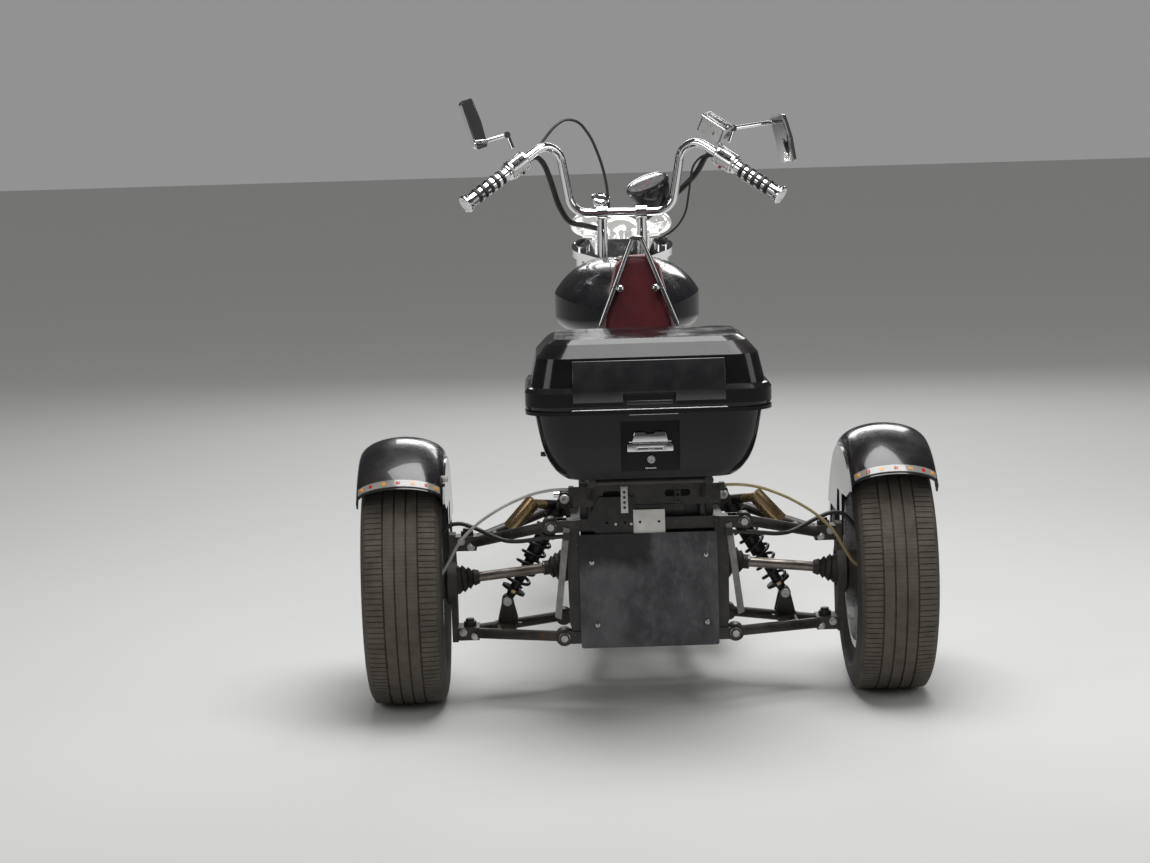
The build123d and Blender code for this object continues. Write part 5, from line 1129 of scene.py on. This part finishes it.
# Riding controls, all on the steered body: places follow the bar's right half, mirrored for the left
controls = {
    "barEnd": (0.426, 0.259, 1.151), "barRun": (0.7468, -0.4095, -0.5240), "ahead": (0, 0.951, -0.309),
    "rider": (0, -1, 0.35), "gripLength": 0.150, "switchGap": 0.064, "switchRadius": 0.028,
    "flareGap": 0.0035, "leverTip": (0.058, 0.006), "perch": 0.012, "pivot": (0.044, 0.006),
    "pivotOut": 0.0088,
    "ringPlaces": (0.028, 0.05, 0.072, 0.094, 0.116), "bandPlaces": (0.009, 0.0535),
    "buttonPlaces": (0.019, 0.043), "bezelPlace": 0.031,
    "ring": [(0.017, -0.00625), (0.0196, -0.00625), (0.0208, -0.00475), (0.0214, 0), (0.0208, 0.00475),
             (0.0196, 0.00625), (0.017, 0.00625), (0.017, -0.00625)],
    "collar": [(0.0155, 0), (0.0242, 0), (0.0262, 0.002), (0.0262, 0.005), (0.0235, 0.008), (0.0155, 0.008),
               (0.0155, 0)],
    "band": [(0.027, -0.0008), (0.0286, -0.0008), (0.0286, 0.0008), (0.027, 0.0008), (0.027, -0.0008)],
    "stop": [(0, 0.004), (0.0035, 0.0038), (0.0045, 0.0022), (0.0045, -0.002), (0, -0.002)],
    "ball": [(0, 0.0075), (0.004, 0.0064), (0.0068, 0.0032), (0.0075, 0), (0.0068, -0.0032), (0.004, -0.0064),
             (0, -0.0075)],
}
# Brake fluid tank on the right perch: its middle ahead, raised and inboard of the perch, then what sits on it
reservoir = {
    "lean": (0, -0.25, 0.97), "middle": (0.03, 0.05, 0.05), "capRise": 0.0412, "screwRise": 0.0482,
    "screwPlaces": (-0.036, 0.036), "sightRise": 0.018, "sightBack": 0.0221, "sightAlong": 0.006,
    "cap": (0.0425, 0.0235, 0, 0.007, 0.0022, 3), "rib": (0.03, 0.012, 0.0065, 0.0082, 0.0012),
    "sight": [(0.0042, 0.0012), (0.0064, 0.0014), (0.007, 0), (0, 0), (0, 0.0006), (0.0042, 0.0006),
              (0.0042, 0.0012)],
}


def flip(vector, side):
    return Vector((vector[0] * side, vector[1], vector[2]))


def makeHandControls(hand, side, setup):
    end, run, ahead = flip(setup["barEnd"], side), flip(setup["barRun"], side), Vector(setup["ahead"])
    start = end - run * setup["gripLength"]
    rings = standCopies(turned(setup["ring"], 32), [(start + run * at, run) for at in setup["ringPlaces"]])
    settle(rings, f"{hand}GripRubbers", "hoseRubber", "steering", 40)
    flare = stand(turned(setup["collar"], 32), end + run * setup["flareGap"], run)
    settle(flare, f"{hand}GripFlare", "chrome", "steering", 40)
    inner = end - run * (setup["gripLength"] + setup["switchGap"])
    toRider, radius = level(setup["rider"], run), setup["switchRadius"]
    skin = inner + toRider * radius
    bands = standCopies(turned(setup["band"], 36), [(inner + run * at, run) for at in setup["bandPlaces"]])
    settle(bands, f"{hand}SwitchBands", "chrome", "steering", 40)
    buttons = [seat(tablet(0.0075, 0.004, -0.003, 0.0035, 0.0016, 3), skin + run * at, run, toRider)
               for at in setup["buttonPlaces"]]
    settle(merge(buttons), f"{hand}SwitchButtons", "blackPlastic", "steering", 30)
    bezel = tablet(0.022, 0.0085, -0.004, 0.0002, 0.0014)
    settle(seat(bezel, skin + run * setup["bezelPlace"], run, toRider),
           f"{hand}SwitchBezel", "blackPlastic", "steering", 30)
    over = toRider.cross(run).normalized() * -side
    stop = stand(turned(setup["stop"], 18), inner + run * setup["bezelPlace"] + over * radius, over)
    settle(stop, f"{hand}StopButton", "redPlastic" if side > 0 else "blackPlastic", "steering", 30)
    forward, inwards = setup["leverTip"]
    tip = stand(turned(setup["ball"], 20), end + ahead * forward + run * inwards, run)
    settle(tip, f"{hand}LeverBall", "satinMetal", "steering", 60)
    perch, outOf = inner + run * setup["perch"], ahead.cross(run) * side
    forward, inwards = setup["pivot"]
    pivot = perch + ahead * forward + run * inwards + outOf.normalized() * setup["pivotOut"]
    boltGroup(f"{hand}LeverPivot", "dome", "steelFixing", "steering", [(pivot, outOf)], 0.8)
    if side > 0:
        makeReservoir(perch, run, ahead, reservoir)


def makeReservoir(perch, run, ahead, setup):
    raised = level(setup["lean"], run)
    forward, rise, inboard = setup["middle"]
    tank = perch + ahead * forward + raised * rise - run * inboard
    cap = merge([tablet(*setup["cap"]), tablet(*setup["rib"])])
    seat(cap, tank + raised * setup["capRise"], run, raised)
    settle(cap, "reservoirCap", "satinMetal", "steering", 30)
    screws = [(tank + raised * setup["screwRise"] + run * along, raised) for along in setup["screwPlaces"]]
    boltGroup("reservoirScrews", "dome", "steelFixing", "steering", screws, 0.45)
    back = level(rear, raised)
    sightPlace = tank + raised * setup["sightRise"] + back * setup["sightBack"] + run * setup["sightAlong"]
    sight = stand(turned(setup["sight"], 20), sightPlace, back)
    settle(sight, "reservoirSight", "blackPlastic", "steering", 30)


makeHandControls("left", -1, controls)
makeHandControls("right", 1, controls)
print("hand controls dressed")

# Mirror glass in each shell: seen is the share of its width that shows from behind, sign how it turns
mirrors = {
    "left": {"centre": (-0.405, 0.385, 1.365), "long": (0.29, 0, -0.96), "seen": 0.47, "sign": 1},
    "right": {"centre": (0.45, 0.385, 1.296), "long": (0.22, 0, -0.975), "seen": 0.5, "sign": -1},
}
mirrorShape = {"halfLong": 0.0635, "halfWide": 0.0365, "thick": 0.0012, "bevel": 0.006, "sunk": 0.0002}


def makeMirrorGlass(name, centre, long, seen, sign, shape=mirrorShape):
    longDir = Vector(long).normalized()
    sideDir = Vector((-longDir.z, 0, longDir.x)) * seen + Vector((0, sign, 0)) * sqrt(1 - seen ** 2)
    faceDir = longDir.cross(sideDir)
    far, wide = shape["halfLong"], shape["halfWide"]
    edge = wide * 0.76
    corners = [(-far, -edge, 0), (far, -edge, 0), (far, edge, 0), (0, wide * 0.95, 0), (-far, edge, 0),
               (-far * 0.99, 0, 0)]
    glass = prism(corners, (0, 0, shape["thick"]), shape["bevel"], 3)
    seat(glass, Vector(centre) - faceDir * shape["sunk"], longDir, faceDir)
    settle(glass, f"{name}MirrorGlass", "mirrorGlass", "steering", 20)


for name, row in mirrors.items():
    makeMirrorGlass(name, **row)
print("mirrors glazed")

# Instrument: black bezel, dial with marks and a needle under glass
dial = {"place": (0.076, 0.481, 1.180), "facing": (-0.34, -0.30, 0.89), "radius": 0.062, "marks": 13,
        "firstMark": 30, "markStep": 20, "needleTurn": 214,
        "hub": [(0, 0.0062), (0.004, 0.0058), (0.0052, 0.003), (0, 0.003)],
        "bezel": [(-0.009, 0.003), (-0.006, 0.0078), (-0.001, 0.0074), (0.0012, 0.0035), (0.0012, -0.0045),
                  (-0.002, -0.007), (-0.009, 0.003)]}


def makeDial(setup):
    facing = Vector(setup["facing"]).normalized()
    across = facing.cross(Vector((0, 1, 0))).normalized() * -1
    radius = setup["radius"]

    def place(piece, name, finish, smooth):
        settle(seat(piece, setup["place"], across, facing), name, finish, "steering", smooth)

    bezel = [(radius + out, height) for out, height in setup["bezel"]]
    place(turned(bezel, 56), "dialBezel", "polishedBlack", 50)
    edge = radius - 0.0085
    face = turned([(0, 0.0026), (edge, 0.0026), (edge, 0.0018), (0, 0.0018)], 48)
    place(face, "dialFace", "blackPlastic", 30)
    bars = []
    for number in range(setup["marks"]):
        inner = radius * (0.62 if number % 2 == 0 else 0.7)
        bar = slab((inner, -0.0009, 0.0026), (radius * 0.8, 0.0009, 0.0031), 0.0002, 1)
        turn = radians(setup["firstMark"] + number * setup["markStep"])
        bar.data.transform(Matrix.Rotation(turn, 4, "Z"))
        bars.append(bar)
    place(merge(bars), "dialMarks", "whitePaint", 30)
    tip = radius * 0.7
    outline = ((-0.012, -0.0022), (tip, -0.0004), (tip, 0.0004), (-0.012, 0.0022))
    needle = prism([(x, y, 0.0038) for x, y in outline], (0, 0, 0.0009), 0.0002)
    needle.data.transform(Matrix.Rotation(radians(setup["needleTurn"]), 4, "Z"))
    place(merge([needle, turned(setup["hub"], 20)]), "dialNeedle", "redPlastic", 30)
    edge = radius - 0.0075
    glass = [(0, 0.0118), (radius * 0.3, 0.0112), (radius * 0.6, 0.0096), (edge, 0.0066), (edge, 0.0058),
             (radius * 0.6, 0.0088), (radius * 0.3, 0.0104), (0, 0.011)]
    place(turned(glass, 40), "dialGlass", "windowGlass", 50)


makeDial(dial)
print("dial made")

# Lamp glasses: fluted lens over each lamp's bright bowl
headLens = {"start": 0.0622, "bulge": 0.0182, "radius": 0.0748}
spotLens = {"start": 0.0384, "bulge": 0.0094, "radius": 0.0346}
lamps = {
    "head": {"place": (0, 0.6, 1.006), "aim": (0, 1, 0), **headLens},
    "leftSpot": {"place": (-0.106, 0.56, 1.069), "aim": (0.5, 0.866, 0), **spotLens},
    "rightSpot": {"place": (0.106, 0.56, 1.069), "aim": (-0.5, 0.866, 0), **spotLens},
}


def makeLens(name, place, aim, start, bulge, radius):
    outer = [(radius * cos(radians(step)), start + bulge * sin(radians(step))) for step in range(0, 91, 15)]
    inside = [(reach * 0.985, height - 0.0006) for reach, height in outer]
    profile = outer[:-1] + [(0, outer[-1][1]), (0, inside[-1][1])] + inside[-2::-1] + [outer[0]]
    settle(stand(turned(profile, 48), place, aim), f"{name}LampLens", "litLens", "steering", 60)


for name, row in lamps.items():
    makeLens(name, **row)
print("lamps glazed")

# Plate area behind the case: pierced strip, small bolts, and a black sheet behind the cross plate, painted
# shade where it is dark
plateArea = {
    "stripLow": (-0.060, -0.9243, 0.463), "stripHigh": (-0.044, -0.9222, 0.523), "holeX": -0.052,
    "holes": (0.4745, 0.4865, 0.4985, 0.5105), "hole": [(0, 0), (0.0033, 0), (0.0033, 0.0003), (0, 0.0003)],
    "bolts": ((-0.0735, 0.436), (-0.0375, 0.436)), "boltFace": -0.9221,
    "shadeSheetLow": (-0.156, -0.8862, 0.404), "shadeSheetHigh": (0.156, -0.8832, 0.530),
}


def makePlateArea(setup):
    strip = slab(setup["stripLow"], setup["stripHigh"], 0.0008)
    settle(strip, "piercedStrip", "whitePaint", "root", 30)
    # The strip's holes are black discs on its face, painted shade for the dark seen through them
    spots = [((setup["holeX"], setup["stripLow"][1], z), rear) for z in setup["holes"]]
    settle(standCopies(turned(setup["hole"], 16), spots), "stripHoles", "blackPlastic", "root", 0)
    boltGroup("plateBolts", "dome", "whiteZinc", "root",
              [((x, setup["boltFace"], z), rear) for x, z in setup["bolts"]], 0.44)
    # Black sheet behind the cross plate: painted shade, standing in for the darkness seen there
    settle(slab(setup["shadeSheetLow"], setup["shadeSheetHigh"]), "paintedShadeSheet", "bracketBlack", "root", 30)


makePlateArea(plateArea)

# Pale flat plates beside the panel, their paleness a painted highlight along the side legs' edges, and a
# washer on each pivot
sideLegs = {"top": (0.188, 0.430), "foot": (0.2135, 0.222), "half": 0.0075, "topStep": 0.004,
            "footStep": 0.006, "front": -0.9255, "back": -0.9295,
            "washerFace": 0.0285, "washer": [(0.004, 0), (0.0115, 0), (0.0125, 0.0012), (0.0125, 0.0048),
                                             (0.0115, 0.006), (0.004, 0.006), (0.004, 0)]}


def makeSideLegs(setup):
    (topX, topZ), (footX, footZ), half, front = setup["top"], setup["foot"], setup["half"], setup["front"]
    outline = ((topX - half, topZ), (topX + half, topZ + setup["topStep"]), (footX + half, footZ),
               (footX - half, footZ - setup["footStep"]))
    plates = [prism([(side * x, front, z) for x, z in outline], (0, setup["back"] - front, 0), 0.0012)
              for side in (-1, 1)]
    # The plates' pale grey is a painted highlight along the side legs' edges
    settle(merge(plates), "sideLegHighlightPlates", "highlightGrey", "root", 30)
    washerY = axleY - rearEnd["boxHalf"] - setup["washerFace"]
    washers = standCopies(turned(setup["washer"], 28), bothSides(pivots, washerY, rear))
    settle(washers, "pivotWashers", "castIron", "root")


makeSideLegs(sideLegs)
print("plate area dressed")

# Rear light strips: coloured reflector squares along each, and the white clip on the left guard
strips = {
    "turns": (34, 52, 71, 90, 109, 128, 146), "square": (0.0042, 0.0045, -0.0012, 0.0008), "crown": 0.346,
    "shoulder": 0.298, "reach": 0.1032, "angle": 129.345, "depth": 0.0026,
    "clip": ((-0.4765, -0.928, 0.548), (-0.4585, -0.9235, 0.562)),
    "clipHead": ((-0.470, -0.930, 0.552), (-0.462, -0.926, 0.558)),
}


def makeStripSquares(setup):
    angle = radians(setup["angle"])
    outward, along = Vector((0, cos(angle), sin(angle))), Vector((0, -sin(angle), cos(angle)))
    rise = setup["crown"] - setup["shoulder"] + setup["depth"]
    pieces = {"amberLens": [], "redLens": []}
    for name in ("rear_left", "rear_right"):
        hub = wheels[name]["hub"]
        for number, turn in enumerate(setup["turns"]):
            across, out = cos(radians(turn)), sin(radians(turn))
            place = Vector((hub.x + across * setup["reach"], axleY, hub.z))
            place += outward * (setup["shoulder"] + out * rise)
            facing = Vector((across * rise, 0, 0)) + outward * (out * setup["reach"])
            square = tablet(*setup["square"], 0.0004, 1)
            seat(square, place, facing.cross(along), facing)
            pieces["redLens" if number % 2 else "amberLens"].append(square)
    for finish, group in pieces.items():
        settle(merge(group), f"{finish}Squares", finish, "root", 20)


makeStripSquares(strips)
clip = merge([slab(*strips["clip"], 0.0014), slab(*strips["clipHead"])])
settle(clip, "cableClip", "whitePaint", "root", 30)
print("strips dressed")

# Engine: bolts on the rocker boxes, pushrod tubes and plug caps, between the frame's two sides
engine = {
    "crank": (0.110, 0.330), "lean": 27, "headBase": 0.221, "headHeight": 0.034, "rocker": 0.030,
    "tubeX": 0.0585, "tubeRadius": 0.0065, "tubePlaces": (-0.011, 0.011), "tubeStart": 0.1, "tubeOver": 0.006,
    "plugX": -0.0555, "plugRise": 0.016, "boltSunk": 0.0004, "boltAlong": 0.022, "boltAcross": 0.032,
    "plug": [(0, 0), (0.0075, 0), (0.0075, 0.006), (0.005, 0.008), (0.005, 0.017), (0.0068, 0.018),
             (0.0068, 0.032), (0, 0.034)],
}


def makeEngine(setup):
    tubes, plugs, tops = [], [], []
    base, tubeRadius = setup["headBase"], setup["tubeRadius"]
    foot = Vector((0, *setup["crank"]))
    for lean in (-1, 1):
        upward = Vector((0, lean * sin(radians(setup["lean"])), cos(radians(setup["lean"]))))
        along = Vector((0, upward.z, -upward.y))
        top = foot + upward * (base + setup["headHeight"] + setup["rocker"] - setup["boltSunk"])
        tops += [(top + along * end * setup["boltAlong"] + Vector((side * setup["boltAcross"], 0, 0)), upward)
                 for end in (-1, 1) for side in (-1, 1)]
        long = base + setup["tubeOver"] - setup["tubeStart"]
        tube = [(0, 0), (0.0085, 0), (0.0085, 0.012), (tubeRadius, 0.0135), (tubeRadius, long - 0.012),
                (0.0082, long - 0.01), (0.0082, long), (0, long)]
        for at in setup["tubePlaces"]:
            low = foot + upward * setup["tubeStart"] + along * at + Vector((setup["tubeX"], 0, 0))
            tubes.append(stand(turned(tube, 18), low, upward))
        plugPlace = foot + upward * (base + setup["plugRise"]) + Vector((setup["plugX"], 0, 0))
        plugs.append(stand(turned(setup["plug"], 14), plugPlace, (-1, 0, 0.25)))
    settle(merge(tubes), "pushrodTubes", "chrome", "root", 40)
    settle(merge(plugs), "plugCaps", "blackPlastic", "root", 40)
    boltGroup("rockerBolts", "hex", "steelFixing", "root", tops, 0.75)


makeEngine(engine)

# Round covers on both sides of the crankcase: a ring of cap screws on each
covers = (
    {"y": 0.140, "z": 0.300, "ring": 0.075, "face": 0.1205, "count": 8},
    {"y": 0.000, "z": 0.285, "ring": 0.050, "face": 0.1205, "count": 6},
)
for number, cover in enumerate(covers):
    turns = [2 * pi * step / cover["count"] for step in range(cover["count"])]
    y, z, ring = cover["y"], cover["z"], cover["ring"]
    spots = [((side * cover["face"], y + ring * cos(turn), z + ring * sin(turn)), (side, 0, 0))
             for side in (-1, 1) for turn in turns]
    boltGroup(f"coverScrews{number}", "dome", "steelFixing", "root", spots, 0.72)
print("engine dressed")

# Rear wheels: hub cap, valve and dark inlays between the spokes, riding with each wheel
rearWheel = {
    "capFace": 0.0369, "valveFace": 0.058, "valveReach": 0.1555,
    "cap": [(0, 0.0195), (0.012, 0.0185), (0.024, 0.0145), (0.031, 0.006), (0.031, 0), (0, 0)],
    "valve": [(0, 0), (0.0055, 0), (0.0042, 0.006), (0.0034, 0.022), (0.0044, 0.023), (0.0044, 0.031),
              (0, 0.032)],
}
# Outline of one inlay as (reach, across) from the axle, and the dished face from hub to rim that it lies on
inlay = {
    "count": 5, "outline": ((0.090, -0.021), (0.145, -0.054), (0.151, 0), (0.145, 0.054), (0.090, 0.021)),
    "limit": 0.152, "hubRadius": 0.072, "hubFace": 0.049, "rimRadius": 0.157, "rimFace": 0.042,
    "sunk": 0.0012, "thick": 0.0022,
}


def makeHub(name, hub, side, setup):
    outwards = Vector((side, 0, 0))
    cap = stand(turned(setup["cap"], 40), hub + outwards * setup["capFace"], outwards)
    settle(cap, f"{name}HubCap", "chrome", f"{name}_wheel_set", 50)
    valvePlace = hub + outwards * setup["valveFace"] + Vector((0, 0, setup["valveReach"]))
    valve = stand(turned(setup["valve"], 14), valvePlace, (side, 0, -0.35))
    settle(valve, f"{name}Valve", "hoseRubber", f"{name}_wheel_set", 50)


def makeInlays(name, hub, side, setup):
    slope = (setup["rimFace"] - setup["hubFace"]) / (setup["rimRadius"] - setup["hubRadius"])
    inlays = []
    for number in range(setup["count"]):
        corners = []
        for reach, across in setup["outline"]:
            far = min(sqrt(reach ** 2 + across ** 2), setup["limit"])
            turn = 2 * pi * number / setup["count"] + atan2(across, reach)
            depth = setup["hubFace"] + slope * (far - setup["hubRadius"]) - setup["sunk"]
            corners.append((hub.x + side * depth, hub.y + far * sin(turn), hub.z + far * cos(turn)))
        inlays.append(prism(corners, (side * setup["thick"], 0, 0), 0.0008))
    settle(merge(inlays), f"{name}WheelInlays", "blackPlastic", f"{name}_wheel_set", 30)


for name, side in (("rear_left", -1), ("rear_right", 1)):
    makeHub(name, wheels[name]["hub"], side, rearWheel)
    makeInlays(name, wheels[name]["hub"], side, inlay)
print("wheels dressed")

# Tank: filler cap, set into the top
filler = {
    "y": 0.235, "sunk": 0.0058, "lean": (0, 0.05, 1),
    "profile": [(0, 0.0052), (0.02, 0.0048), (0.026, 0.0034), (0.0275, 0.001), (0.0275, -0.004), (0, -0.004)],
}
fillerPlace = (0, filler["y"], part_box("fuel_tank")[1].z - filler["sunk"])
settle(stand(turned(filler["profile"], 40), fillerPlace, filler["lean"]), "fillerCap", "chrome", "root", 50)

for shape in boltShapes.values():
    discard(shape)
low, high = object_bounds()
